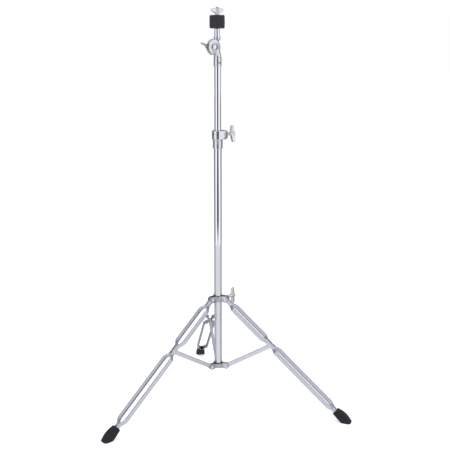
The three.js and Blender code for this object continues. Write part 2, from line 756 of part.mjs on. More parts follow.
function tilterLower() {
  const face = -mateY - discThickness;
  const ring = face - bossRingRise;
  const half = discEdge / 2;
  const top = socketHeight;
  const socket = turned([
    [0, 0], [socketR, 0], [beadR, half], [beadR, beadHeight - half], [socketR, beadHeight],
    [socketR, top - beadHeight], [beadR, top - beadHeight + half], [beadR, top - half],
    [socketR, top], [0, top],
  ]);
  const disc = turned([
    [0, face], [discR - discEdge, face], [discR, face + discEdge], [discR, -mateY], [0, -mateY],
  ]);
  const boss = turned([
    [0, ring], [bossRingR - discEdge, ring], [bossRingR, ring + discEdge], [bossRingR, -mateY], [0, -mateY],
  ], bossSides);
  const neckR = socketR - half;
  const neckRing = ([up, lean, forward, wide, deep]) => Array.from({ length: bossSides }, (_, i) => {
    const turn = 2 * Math.PI * i / bossSides;
    const x = wide * neckR * Math.cos(turn) - lean * neckLean;
    const y = deep * neckR * Math.sin(turn) - forward * neckForward;
    return new THREE.Vector3(x, y, top - discEdge + up * neckHeight);
  });
  const neck = skin(neckShares.map(neckRing));
  const screwHole = alongY(bore(grubR + gap, 0, beadR + overrun)).rotateZ(-setScrewAzimuth - tilterTurn);
  const cast = carve(socket, {
    adds: [onTiltAxis(disc), onTiltAxis(boss), neck],
    cuts: [
      onTiltAxis(pin(discR + 2 * gap, -mateY, beadR + overrun, tubeSides)),
      pin(upperTubeR + gap, -overrun, top - beadHeight + gap, tubeSides),
      onTiltAxis(pin(boltHeadR + gap, ring - neckForward, ring + bossRecess, bossSides)),
      onTiltAxis(bore(boltR + gap, ring, 0)),
      onTiltAxis(pin(springR + gap, -mateY - springRecess, 0, bossSides)),
      screwHole.translate(0, 0, setScrewRise),
    ],
  });
  return piece('tilter_lower_half', 'castChrome', cast, { adds: [onTiltAxis(teeth(false))] });
}

function tilterUpper() {
  const face = mateY + discThickness;
  const rear = face + rearBossRise;
  const disc = turned([
    [0, mateY], [discR, mateY], [discR, face - discEdge], [discR - discEdge, face], [0, face],
  ]);
  const boss = turned([
    [0, mateY], [rearBossR, mateY], [rearBossR, rear - discEdge], [rearBossR - discEdge, rear], [0, rear],
  ], bossSides);
  const low = armCollarZ - socketZ;
  const high = low + armCollarHeight;
  const collar = turned([
    [0, low], [armCollarR - armCollarEdge, low], [armCollarR, low + armCollarEdge],
    [armCollarR, high - armCollarEdge], [armCollarR - armCollarEdge, high], [0, high],
  ]);
  const stemSteps = 6;
  const stemFoot = pivotRise + discR / 4;
  const stemR = armCollarR - armCollarEdge;
  const stem = skin(Array.from({ length: stemSteps + 1 }, (_, step) => {
    const k = step / stemSteps;
    const ease = k * k * (3 - 2 * k);
    const front = THREE.MathUtils.lerp(mateY, -stemR, ease);
    const back = THREE.MathUtils.lerp(face, stemR, ease);
    const lean = THREE.MathUtils.lerp(pivotOffset / 2, armOffset, ease);
    const z = THREE.MathUtils.lerp(stemFoot, low + armCollarEdge, k);
    return Array.from({ length: bossSides }, (_, i) => {
      const turn = 2 * Math.PI * i / bossSides;
      const y = (front + back) / 2 + (back - front) / 2 * Math.sin(turn);
      return new THREE.Vector3(stemR * Math.cos(turn) - lean, y, z);
    });
  }));
  const cast = carve(collar.translate(-armOffset, 0, 0), {
    adds: [stem, onTiltAxis(disc), onTiltAxis(boss)],
    cuts: [
      onTiltAxis(pin(discR + 2 * gap, -beadR, mateY, tubeSides)),
      pin(armR + gap, high - armSeatDepth - gap, high + overrun, tubeSides).translate(-armOffset, 0, 0),
      onTiltAxis(bore(boltR + gap, 0, rear + overrun)),
    ],
  });
  return piece('tilter_upper_half', 'castChrome', cast, { adds: [onTiltAxis(teeth(true))] });
}

// A wing nut standing on z = 0, bored from below to the given depth
function wingNut(name, { baseR, nutR, height, depth, ...wingSizes }) {
  const flare = baseR - nutR;
  return piece(name, 'castChrome', turned([
    [0, 0], [baseR, 0], [baseR, flare], [nutR, 2 * flare],
    [nutR, height - nutDome], [nutR - nutDome, height], [0, height],
  ], bossSides), {
    adds: wings(wingSizes),
    cuts: [bore(rodR + gap, -overrun, depth)],
  });
}

function tilter() {
  const recess = bossRecess - mateY - discThickness - bossRingRise;
  const seat = recess - gap;
  const crown = seat - boltHeadHeight;
  const nutSeat = mateY + discThickness + rearBossRise + gap;
  const nutBore = tilterNutHeight - 2 * nutDome;
  const boltEnd = nutSeat + nutBore - gap;
  const bolt = piece('tilter_bolt', 'chrome', onTiltAxis(turned([
    [0, crown], [boltHeadR / 2, crown + boltHeadHeight / 8], [boltHeadR * 3 / 4, crown + boltHeadHeight / 3],
    [boltHeadR, crown + boltHeadHeight * 2 / 3], [boltHeadR, seat], [boltR, seat],
    [boltR, boltEnd], [0, boltEnd],
  ], bossSides)));
  const springLow = gap - mateY - springRecess;
  const springHigh = mateY - gap;
  const springBore = boltR + gap;
  const spring = piece('tilter_spring_washer', 'steel', onTiltAxis(turned([
    [springBore, springHigh - springWall], [springR, springLow], [springR, springLow + springWall],
    [springBore, springHigh], [springBore, springHigh - springWall],
  ], bossSides)));
  const nut = wingNut('tilter_wing_nut', {
    baseR: tilterNutBaseR,
    nutR: tilterNutR,
    height: tilterNutHeight,
    depth: nutBore,
    spanHalf: tilterWingSpanHalf,
    tipR: wingTipR,
    low: tilterWingFoot,
    high: tilterNutHeight - nutDome,
    tipZ: tilterNutHeight - tilterWingTipSetback,
    thickness: wingThickness,
  });
  nut.rotation.x = -Math.PI / 2;
  const turnedNut = new THREE.Group();
  turnedNut.rotation.y = tilterWingTurn;
  turnedNut.add(nut);
  const screw = grubScrew('tilter_set_screw', upperTubeR + gap, setScrewLength);
  const screwFrame = at(facing(setScrewAzimuth + tilterTurn, screw), 0, 0, setScrewRise);
  const group = facing(-tilterTurn, tilterLower(), tilterUpper(), bolt, spring, screwFrame);
  group.add(at(turnedNut, -pivotOffset, nutSeat, pivotRise));
  return at(group, 0, 0, socketZ);
}

// Cymbal seat: arm, rod, sleeve, two felts and the wing nut, all on the stand's axis
function felt(name, z, lowerEdge, upperEdge) {
  const inner = rodR + gap + sleeveWall + gap;
  const quarter = [0, Math.PI / 6, Math.PI / 3, Math.PI / 2];
  const edge = (radius) => quarter.map((turn) => [
    feltR - radius * (1 - Math.sin(turn)), radius * (1 - Math.cos(turn)),
  ]);
  const lower = edge(lowerEdge);
  const upper = edge(upperEdge).map(([r, h]) => [r, feltThickness - h]).reverse();
  const profile = [[inner, 0], ...lower, ...upper, [inner, feltThickness], [inner, 0]];
  return at(piece(name, 'felt', turned(profile, feltSides)), 0, 0, z);
}

function cymbalSeat() {
  const rodBottom = armTopZ - rodSocketDepth;
  const rodTop = armTopZ + rodProud;
  const sleeveZ = armTopZ + gap;
  const group = new THREE.Group();
  group.add(
    piece('cymbal_arm', 'chrome', turned([
      [0, armZ], [armR, armZ], [armR, armTopZ - armEdge], [armR - armEdge, armTopZ], [0, armTopZ],
    ]), { cuts: [pin(rodR + gap, rodBottom - gap, armTopZ + overrun)] }),
    piece('cymbal_rod', 'chrome', turned([
      [0, rodBottom], [rodR, rodBottom], [rodR, rodTop - rodTipChamfer],
      [rodR - rodTipChamfer, rodTop], [0, rodTop],
    ], rivetSides)),
    piece('cymbal_sleeve', 'nylon', pipe(
      rodR + gap, rodR + gap + sleeveWall, sleeveZ, sleeveZ + sleeveLength, rivetSides,
    )),
    felt('lower_felt', armTopZ + gap, feltEdge, feltMeetingEdge),
    felt('upper_felt', upperFeltZ, feltMeetingEdge, feltEdge),
    at(facing(topWingAzimuth + tilterTurn - Math.PI / 2, wingNut('top_wing_nut', {
      baseR: topNutBaseR,
      nutR: topNutR,
      height: topNutHeight,
      depth: topNutHeight + overrun,
      spanHalf: topWingSpanHalf,
      tipR: topWingTipR,
      low: topWingFoot,
      high: topNutHeight,
      tipZ: topNutHeight - topWingTipR,
      thickness: topWingThickness,
    })), 0, 0, topNutZ),
  );
  return facing(-tilterTurn, at(group, -armOffset, 0, 0));
}

const stand = new THREE.Group();
stand.name = 'cymbal_stand';
stand.add(piece('base_tube', 'chrome', pipe(baseTubeR - baseTubeWall, baseTubeR, baseTubeZ, baseTubeTopZ)));
stand.add(plateSet('bracket', bracePivotZ, {
  half: braceHalf,
  pivotR: bracePivotR,
  earR: bracketEarR,
  bandHalf: bracketBandHalf,
}, 0));
stand.add(legCollar());
for (let number = 1; number <= legCount; number += 1) stand.add(leg(number), brace(number));
stand.add(heightClamp(), upperTube(), tilter(), cymbalSeat());

// The origin is the middle of the whole stand's box, on the floor
const middle = new THREE.Box3().setFromObject(stand, true).getCenter(new THREE.Vector3());
stand.position.set(-middle.x, -middle.y, 0);

export default stand;
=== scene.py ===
# %% [markdown]
# # A cymbal stand, dressed in Blender
# A straight cymbal stand is two chromed tubes, one inside the other, on a folding tripod of pressed
# channels. A cast clamp holds the height, a toothed joint tilts the top, and two felts under a wing nut
# hold the cymbal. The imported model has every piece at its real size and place. This lesson gives each one
# its rolled edges and its surface, and lights the stand as a product shot on white.

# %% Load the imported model
import bpy
import bmesh
import json
from math import acos, atan2, ceil, cos, degrees, hypot, pi, radians, sin, sqrt
from mathutils import Matrix, Vector, noise


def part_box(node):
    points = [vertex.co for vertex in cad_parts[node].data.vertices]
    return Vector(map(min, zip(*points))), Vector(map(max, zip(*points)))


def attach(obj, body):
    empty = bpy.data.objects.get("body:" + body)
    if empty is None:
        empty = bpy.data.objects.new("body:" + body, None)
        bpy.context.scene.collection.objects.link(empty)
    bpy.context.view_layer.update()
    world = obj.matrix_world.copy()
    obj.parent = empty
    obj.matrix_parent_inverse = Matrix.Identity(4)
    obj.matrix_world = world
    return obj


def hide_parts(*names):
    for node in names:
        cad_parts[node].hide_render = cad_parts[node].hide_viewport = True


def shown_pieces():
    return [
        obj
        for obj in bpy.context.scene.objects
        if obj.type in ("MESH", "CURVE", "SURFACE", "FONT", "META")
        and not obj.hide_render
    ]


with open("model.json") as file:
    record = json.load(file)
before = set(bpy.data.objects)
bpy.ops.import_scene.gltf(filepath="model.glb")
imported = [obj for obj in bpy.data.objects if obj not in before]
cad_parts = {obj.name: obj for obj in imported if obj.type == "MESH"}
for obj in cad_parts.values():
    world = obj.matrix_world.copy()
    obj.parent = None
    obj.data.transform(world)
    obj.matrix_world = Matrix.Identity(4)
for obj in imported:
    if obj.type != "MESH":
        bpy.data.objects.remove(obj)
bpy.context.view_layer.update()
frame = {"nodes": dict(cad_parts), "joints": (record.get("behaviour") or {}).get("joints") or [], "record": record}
scene = bpy.context.scene
nodes = frame["nodes"]
pivots = {joint["name"]: Vector(joint["pos_m"]) for joint in frame["joints"] if "pos_m" in joint}
body_of = {node: body for body, names in frame["record"]["behaviour"]["bodies"].items() for node in names}
slot_of = {entry["node"]: entry["material_slot"] for entry in frame["record"]["subparts"]}

# %% [markdown]
# ## Where the pieces stand
# All sizes are millimetres, as a maker's drawing would give them. The tube doesn't stand over the middle of
# the floor box, because one leg reaches further back than the two others reach forward, so its axis is read
# from the joint that lets the upper tube turn. Azimuths are counted clockwise from the rear leg.

# %% Sizes and places
MM = 0.001
gap, bolt_r, hole_r = 0.3, 4, 4.3
lower_tube_r, upper_tube_r, bush_wall = 11.1, 9.525, 1.6
bush_r, bore_r = lower_tube_r + gap, upper_tube_r + gap
leg_azimuths = {1: 0.0, 2: radians(120), 3: radians(240)}
leg_angle, leg_pivot_r, leg_length, knee_along = radians(48.39), 23.7, 488.9, 186.8
tube_y, leg_pivot_z = pivots["mast_swivel"].y / MM, pivots["leg_1_fold"].z / MM
brace_pivot_r, brace_pivot_z = 26.3, pivots["strut_1_fold"].z / MM
knee_r = leg_pivot_r + knee_along * sin(leg_angle)
knee_z = leg_pivot_z - knee_along * cos(leg_angle)
brace_angle = atan2(knee_r - brace_pivot_r, knee_z - brace_pivot_z)
brace_length = hypot(knee_r - brace_pivot_r, knee_z - brace_pivot_z)


def heights(node):
    """The lowest and the highest point of a CAD node."""
    return [corner.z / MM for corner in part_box(node)]


def shift(x, y, z):
    return Matrix.Translation((x * MM, y * MM, z * MM))


def turn(angle, axis):
    return Matrix.Rotation(angle, 4, axis)


def facing(azimuth, height=0.0):
    """The frame that looks out from the tube along an azimuth, at a height."""
    return shift(0, tube_y, height) @ turn(-azimuth, "Z")


leg_place = shift(0, leg_pivot_r, leg_pivot_z) @ turn(leg_angle, "X")
print("leg pivots at", round(leg_pivot_z, 1), "braces", round(brace_length, 1), "mm long")

# %% [markdown]
# ## Turning rings into skins
# Nearly every piece here is turned, bent or cast, and all three are a row of rings: one profile swept in a
# circle, one section carried along a path, or a section that changes as it climbs. One helper joins rings
# into a closed skin of clean quads, so the highlights run smoothly. Another rounds the corners of a profile,
# because no plated edge is sharp. A shell is a pair: its rings, and whether the last joins the first.

# %% Helpers for skins
def rounded(points, radius, steps, closed=False):
    """The same outline with each corner rounded by up to the given radius."""
    result = []
    count = len(points)
    for i, corner in enumerate(points):
        corner = Vector(corner)
        before, after = Vector(points[i - 1]) - corner, Vector(points[(i + 1) % count]) - corner
        reach = min(radius, before.length * 0.45, after.length * 0.45)
        loose_end = not closed and i in (0, count - 1)
        if loose_end or reach < 1e-6:
            result.append(tuple(corner))
            continue
        start, end = corner + before.normalized() * reach, corner + after.normalized() * reach
        for step in range(steps + 1):
            k = step / steps
            result.append(tuple(start * (1 - k) ** 2 + corner * (2 * k * (1 - k)) + end * k * k))
    return result


def compass(count):
    """East and north parts of directions that are evenly spaced."""
    return [(cos(2 * pi * i / count), sin(2 * pi * i / count)) for i in range(count)]


def circle(radius, height, points=48):
    return [(radius * east, radius * north, height) for east, north in compass(points)]


def turned(profile, sides, edge=0.0, closed=False):
    """The shell of a profile of (radius, height) points, swept round Z."""
    line = rounded(profile, edge, 4, closed) if edge else profile
    return [circle(r, z, sides) for r, z in line], closed


def pipe(inner, outer, low, high):
    """A profile with four corners. With no inner radius it's a plain cylinder."""
    return [(inner, low), (outer, low), (outer, high), (inner, high)]


def moved(shell, matrix):
    """A shell carried by a matrix whose shifts are in metres."""
    rings, looped = shell
    return [[tuple((matrix @ (Vector(p) * MM)) / MM) for p in ring] for ring in rings], looped


def add_skin(mesh, rings, looped):
    """Joins rings into one closed skin of an edit mesh: quads between rings, flat caps at open ends."""
    made = [[mesh.verts.new(Vector(p) * MM) for p in ring] for ring in rings]
    count = len(made[0])
    for here, there in zip(made, made[1:] + made[:1] if looped else made[1:]):
        for j in range(count):
            k = (j + 1) % count
            mesh.faces.new((here[j], here[k], there[k], there[j]))
    if not looped:
        mesh.faces.new(list(reversed(made[0])))
        mesh.faces.new(made[-1])


def skin_mesh(name, shells, sharp=38):
    """A mesh of closed shells, smooth except where faces meet at more than the sharp angle."""
    work = bmesh.new()
    for rings, looped in shells:
        add_skin(work, rings, looped)
    bmesh.ops.remove_doubles(work, verts=work.verts, dist=2e-6)
    bmesh.ops.dissolve_degenerate(work, edges=work.edges, dist=1e-6)
    bmesh.ops.recalc_face_normals(work, faces=work.faces)
    mesh = bpy.data.meshes.new(name)
    work.to_mesh(mesh)
    work.free()
    mesh.shade_smooth()
    mesh.set_sharp_from_angle(angle=radians(sharp))
    return mesh


def new_object(name, data):
    thing = bpy.data.objects.new(name, data)
    scene.collection.objects.link(thing)
    return thing


def add_piece(name, shells, place, node, sharp=38):
    """A new piece in place of a CAD node: same body, same material slot."""
    piece = new_object(name, skin_mesh(name, shells, sharp))
    piece.matrix_world = place
    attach(piece, body_of[node])
    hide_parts(node)
    piece["finish"] = slot_of[node]
    return piece


def add_three(name, shells, place, node, sharp=38):
    """One piece for each leg, whose number goes into both names and whose azimuth turns the place."""
    return [add_piece(name.format(number), shells, facing(azimuth) @ place, node.format(number), sharp)
            for number, azimuth in leg_azimuths.items()]


def carve(piece, cutters):
    """Takes closed shells away from a piece, in the piece's own frame."""
    for shell in cutters:
        tool = new_object("cutter", skin_mesh("cutter", [shell]))
        tool.matrix_world = piece.matrix_world.copy()
        change = piece.modifiers.new("cut", "BOOLEAN")
        change.operation, change.solver, change.object = "DIFFERENCE", "EXACT", tool
        bpy.context.view_layer.update()
        ready = piece.evaluated_get(bpy.context.evaluated_depsgraph_get())
        cut_mesh = bpy.data.meshes.new_from_object(ready)
        piece.modifiers.clear()
        piece.data = cut_mesh
        piece.data.set_sharp_from_angle(angle=radians(38))
        bpy.data.objects.remove(tool)


print("helpers ready")

# %% [markdown]
# ## The two tubes
# Both are plain steel tube, cut square and chromed, so a turned skin is the honest way to make them. The
# only shape that they have is the small rolled lip where the cut end was dressed before plating.

# %% Lower and upper tube
tube_place = shift(0, tube_y, 0)
for name, node, radius, wall in (("lower_tube", "base_tube", lower_tube_r, 1.1),
                                 ("rising_tube", "upper_tube", upper_tube_r, 1.2)):
    low, high = heights(node)
    add_piece(name, [turned(pipe(radius - wall, radius, low, high), 96, 0.45, closed=True)], tube_place, node)
    print(name, round(high - low, 1), "mm long")

# %% [markdown]
# ## The legs
# Each leg is two pressed channels, mirrored. They lie together at the collar, at the knee and in the foot,
# and run apart between, which makes the leg stiff and light. The press softens each bend, so the section is
# carried along the leg and its distance from the middle is averaged over a few millimetres at each kink.

# %% Leg channels
channel_depth, channel_flange, channel_wall = 12.4, 4.2, 1.3
leg_end_round = 6.5
leg_end = leg_length - 19
closed_half, open_half, slot_half = 5.6, 17.8, 3.8
slot_from, slot_to = knee_along - 32, knee_along + 22.8
kinks = [(24.5, closed_half), (37.2, open_half),
         (slot_from, open_half), (knee_along - 18.5, closed_half),
         (knee_along + 11.8, closed_half), (slot_to, open_half),
         (leg_end - 49, open_half), (leg_end - 34, closed_half)]


def face_at(along):
    """Distance from the leg's middle to a channel's outer face, before the bends are softened."""
    if along <= kinks[0][0]:
        return kinks[0][1]
    for (s0, h0), (s1, h1) in zip(kinks, kinks[1:]):
        if along <= s1:
            return h0 + (h1 - h0) * (along - s0) / (s1 - s0)
    return kinks[-1][1]


def channel_ring(along):
    face = sum(face_at(along + offset) for offset in range(-4, 5)) / 9
    deep = channel_depth / 2
    if along < 0:
        deep = min(deep, sqrt(leg_end_round ** 2 - along ** 2))
    wall = min(channel_wall, deep * 0.4)
    lip = face - channel_flange
    if slot_from < along < slot_to:
        lip = max(lip, slot_half)
    outer = rounded([(lip, -deep), (face, -deep), (face, deep), (lip, deep)], 1.5, 4)
    inside, hollow = face - wall, deep - wall
    inner = rounded([(lip, hollow), (inside, hollow), (inside, -hollow), (lip, -hollow)], 0.7, 3)
    return [(x, y, -along) for x, y in outer + inner]


def stretch(start, end, step):
    count = ceil((end - start) / step)
    return [start + (end - start) * i / count for i in range(count + 1)]


leg_stations = [-6.3, -5.7, -4.8, -3.4, -1.7] + stretch(0, leg_end, 2.6)
rings = [channel_ring(along) for along in leg_stations]
mirrored = [[(-x, y, z) for x, y, z in reversed(ring)] for ring in rings]
add_three("leg_{}_right_channel", [(rings, False)], leg_place, "leg_{}_channel_a")
add_three("leg_{}_left_channel", [(mirrored, False)], leg_place, "leg_{}_channel_b")
print("channels: 6, each with", len(leg_stations), "sections")

# %% [markdown]
# ## The braces
# A brace is one U channel, open on the outside, with a round end about each rivet. Its section is carried
# straight from end to end, and its depth follows the circle of the round end.

# %% Braces
brace_depth, brace_half, brace_wall = 12.6, 3.5, 1.2


def brace_ring(along):
    beyond = max(0.0, -along, along - brace_length)
    edge = sqrt(max(0.16, (brace_depth / 2) ** 2 - beyond ** 2))
    wall = min(brace_wall, edge * 0.5)
    half, hollow = brace_half, brace_half - brace_wall
    outer = rounded([(-half, edge), (-half, -edge), (half, -edge), (half, edge)], 1.4, 4)
    inner = rounded([(hollow, edge), (hollow, wall - edge), (-hollow, wall - edge), (-hollow, edge)], 0.5, 3)
    return [(x, y, along) for x, y in outer + inner]


end_steps = [6.25, 6.0, 5.4, 4.4, 3.0, 1.5]
brace_stations = [-s for s in end_steps] + stretch(0, brace_length, 12)
brace_stations += [brace_length + s for s in reversed(end_steps)]
brace_rings = [brace_ring(along) for along in brace_stations]
brace_place = shift(0, brace_pivot_r, brace_pivot_z) @ turn(-brace_angle, "X")
add_three("brace_{}_channel", [(brace_rings, False)], brace_place, "brace_{}")
print("braces lean", round(degrees(brace_angle), 1), "degrees")

# %% [markdown]
# ## Collar and bracket plates
# Three pressed plates wrap the nylon bush at the collar and three more at the bracket. Each is one strip:
# an ear, a bend, a third of a ring, a bend and a second ear. So it is a path seen from above, with a strip
# carried along it whose height swells to the ear's round end.

# %% Pressed plates
plate_wall = 2.0
plate_inner_r = lower_tube_r + gap + bush_wall + gap
collar_bolt_azimuth, collar_bolt_drop = 60, 2.4


def across_plate(x, y):
    """The mirror image of a point in the plate's own middle plane, which leaves the ear at 60 degrees."""
    lean = radians(60)
    return x * cos(lean) + y * sin(lean), x * sin(lean) - y * cos(lean)


def strip_path(cheek, pivot_r, ear_r):
    """Points down one ear, round a third of the bush and out along the next ear."""
    x = cheek + plate_wall / 2
    ring_r = plate_inner_r + plate_wall / 2
    foot = sqrt(ring_r ** 2 - x ** 2)
    first = atan2(foot, x)
    ear = [(x, pivot_r + ear_r * share) for share in (0.992, 0.96, 0.9, 0.8, 0.65, 0.45, 0.22, 0)]
    ear += [(x, pivot_r + (foot - pivot_r) * share) for share in (0.33, 0.6)]
    swings = [first + (radians(60) - 2 * first) * i / 18 for i in range(19)]
    arc = [(ring_r * cos(swing), ring_r * sin(swing)) for swing in swings]
    mirror = [across_plate(*point) for point in reversed(ear)]
    corner = rounded([ear[-1], arc[0], arc[2]], 3.0, 6)
    last = rounded([arc[-3], arc[-1], mirror[0]], 3.0, 6)
    return ear[:-1] + corner + arc[3:-3] + last + mirror[1:]


def strip_rings(path, pivot_r, ear_r, band_half):
    rings = []
    for i, (x, y) in enumerate(path):
        ahead, behind = path[min(i + 1, len(path) - 1)], path[max(i - 1, 0)]
        along = Vector((ahead[0] - behind[0], ahead[1] - behind[1])).normalized()
        out = Vector((-along.y, along.x))
        reach = max(y if x < y else 0, across_plate(x, y)[1])
        if reach > pivot_r:
            tall = sqrt(max(0.09, ear_r ** 2 - (reach - pivot_r) ** 2))
        else:
            share = max(0.0, (reach - plate_inner_r) / (pivot_r - plate_inner_r))
            tall = band_half + (ear_r - band_half) * share
        section = rounded(pipe(-plate_wall / 2, plate_wall / 2, -tall, tall), 0.6, 3, closed=True)
        rings.append([(x + out.x * u, y + out.y * u, v) for u, v in section])
    return rings


def bolt_drill(azimuth, height):
    """A round cutter for a wing bolt's hole, along an azimuth in degrees."""
    drill = turned(pipe(0, hole_r, 8, 40), 40)
    return moved(drill, turn(-radians(azimuth), "Z") @ shift(0, 0, height) @ turn(-pi / 2, "X"))


# Each set: height, half the width that it holds, radius of its pivots, half heights of ear and of band.
plate_sets = {"collar": (leg_pivot_z, closed_half, leg_pivot_r, 9.2, 8.4),
              "bracket": (brace_pivot_z, brace_half, brace_pivot_r, 8.6, 6.8)}
collar_drill = bolt_drill(collar_bolt_azimuth, -collar_bolt_drop)
for name, (z, half, pivot_r, ear_r, band_half) in plate_sets.items():
    path = strip_path(half + gap, pivot_r, ear_r)
    rings = strip_rings(path, pivot_r, ear_r, band_half)
    strips = add_three(name + "_strip_{}", [(rings, False)], shift(0, 0, z), name + "_plate_{}")
    for strip in strips:
        strip["finish"] = "dull_chrome"
    if name == "collar":
        carve(strips[0], [collar_drill])
    print(name, "plates:", len(path), "sections each")

# %% [markdown]
# ## Bushes and rivets
# The bushes are moulded nylon rings, a little shorter than the plates. Each has three keys that fill the
# mouths between the ears, the dark spots beside the tube. The rivets are turned, with low domed heads.

# %% Bushes and rivets
rivet_shank_r, rivet_head_r, rivet_head_height = 2.8, 4.9, 1.9


def dome(seat, crown, head_r):
    """A low rivet head from its middle out to its rim, as radius and height."""
    points = []
    for step in range(9):
        swing = pi / 2 * step / 8
        points.append((head_r * sin(swing), seat + (crown - seat) * (0.34 + 0.66 * cos(swing))))
    return points + [(head_r, seat), (rivet_shank_r, seat)]


def key_shell(half, band_half):
    """A bush's key: rounded rectangles from the middle of the ring's wall out past the plates."""
    tip = plate_inner_r + plate_wall + 1.4
    rings = []
    for reach, inset in ((bush_r + bush_wall / 2, 0), (tip - 0.8, 0), (tip - 0.3, 0.15), (tip, 0.6)):
        x, z = half - inset, band_half - inset
        ring = rounded(pipe(-x, x, -z, z), 0.8, 3, closed=True)
        rings.append([(across, reach, height) for across, height in ring])
    return rings, False


for name, (z, half, pivot_r, ear_r, band_half) in plate_sets.items():
    low, high = -band_half + 0.6, band_half - 0.6
    shells = [turned(pipe(bush_r, bush_r + bush_wall, low, high), 72, 0.4, closed=True)]
    shells += [moved(key_shell(half, band_half), turn(-azimuth, "Z")) for azimuth in leg_azimuths.values()]
    ring = add_piece(name + "_nylon_ring", shells, facing(0, z), name + "_bush")
    if name == "collar":
        carve(ring, [collar_drill])
    seat = half + gap + plate_wall + gap
    rivet = dome(seat, seat + rivet_head_height, rivet_head_r)
    rivet += [(r, -height) for r, height in reversed(rivet)]
    place = shift(0, pivot_r, z) @ turn(pi / 2, "Y")
    add_three(name + "_domed_rivet_{}", [turned(rivet, 40)], place, name + "_rivet_{}")
seat = closed_half + gap
stud = dome(seat, seat + 1.5, 4.2) + [(rivet_shank_r, slot_half), (0, slot_half)]
for side, spin in (("a", pi / 2), ("b", -pi / 2)):
    place = leg_place @ shift(0, 0, -knee_along) @ turn(spin, "Y")
    add_three("leg_{}_knee_stud_" + side, [turned(stud, 40)], place, "leg_{}_knee_rivet_" + side)
print("rivets: 6, knee studs: 6")

# %% [markdown]
# ## Rubber feet
# A foot is a moulded boot on the end of the leg. Its mouth is square to the leg and its sole lies flat on
# the floor, so the rings turn from one plane to the other on the way down. The outline is a rectangle with
# round corners, the outer side bellies out, and the sole's edge is rolled.

# %% Rubber feet
boot_mouth = leg_end - 25.0
mouth_half, mouth_depth = (9.6, 10.2)
sole_half, sole_depth = (14.2, 10)
leg_top = Vector((0, leg_pivot_r, leg_pivot_z))
down_leg = Vector((0, sin(leg_angle), -cos(leg_angle)))
across_leg = Vector((0, cos(leg_angle), sin(leg_angle)))


def between(before, start, end, after, t):
    """A smooth step from start to end that also heeds the neighbours on both sides."""
    curve = 2 * before - 5 * start + 4 * end - after
    twist = 3 * start - before - 3 * end + after
    return 0.5 * (2 * start + (end - before) * t + curve * t ** 2 + twist * t ** 3)


def smoothed(points, steps):
    """A smooth curve through the points, of which the first and the last two only steer it."""
    result = []
    for i in range(len(points) - 3):
        for step in range(steps):
            result.append([between(*four, step / steps) for four in zip(*points[i:i + 4])])
    return result


quarter = [(0.36, 1), (0.7, 0.94), (0.93, 0.74), (1, 0.36)]
half_outline = quarter + [(x, -y) for x, y in reversed(quarter)]
outline = [(0, 1)] + half_outline + [(0, -1)] + [(-x, y) for x, y in reversed(half_outline)]
foot_loop = smoothed(outline[-1:] + outline + outline[:2], 4)


def foot_ring(share, inset=0.0):
    """One ring of the boot at a share of the way from its mouth to the floor, in the leg's upright frame."""
    centre = leg_top + down_leg * (boot_mouth + (leg_length - boot_mouth) * share)
    depth_axis = (across_leg * (1 - share) + Vector((0, 1, 0)) * share).normalized()
    half_width = mouth_half + (sole_half - mouth_half) * share - inset
    half_depth = (mouth_depth + (sole_depth - mouth_depth) * share - inset) / depth_axis.dot(across_leg)
    swell = sin(pi * share)
    ring = []
    for wide, deep in foot_loop:
        point = centre + depth_axis * (deep * half_depth + 6.2 * swell * max(0.0, deep))
        ring.append((wide * (half_width + 0.6 * swell), point.y, point.z))
    return ring


def mouth_ring(along):
    """The rectangular pocket that the leg fills, with as many points as the boot's outline."""
    half_x, half_y = 7.3, channel_depth / 2 + gap
    ring = []
    for wide, deep in foot_loop:
        size = max(abs(wide) / half_x, abs(deep) / half_y, 1e-6)
        point = leg_top + down_leg * along + across_leg * (deep / size)
        ring.append((wide / size, point.y, point.z))
    return ring


foot_rings = [mouth_ring(leg_end + 0.2), mouth_ring(boot_mouth + 0.5)]
foot_rings += [foot_ring(*step) for step in ((0, 1.1), (0.004, 0.6), (0.014, 0.2), (0.035, 0))]
foot_rings += [foot_ring(0.035 + 0.905 * i / 20) for i in range(1, 21)]
foot_rings += [foot_ring(*step) for step in ((0.965, 0.12), (0.985, 0.4), (0.996, 0.85), (1, 1.4), (1, 4))]
add_three("leg_{}_boot", [(foot_rings, False)], shift(0, 0, 0), "leg_{}_rubber_foot", sharp=50)
print("boots:", len(foot_rings), "rings of", len(foot_loop), "points")

# %% [markdown]
# ## Wing bolts and wing nuts
# Four small castings do all the tightening. Each has a turned hub and two wings, thick at the root, thinner
# at the tip and rounded everywhere. A wing is a row of oval sections, so its faces are gently pillowed.

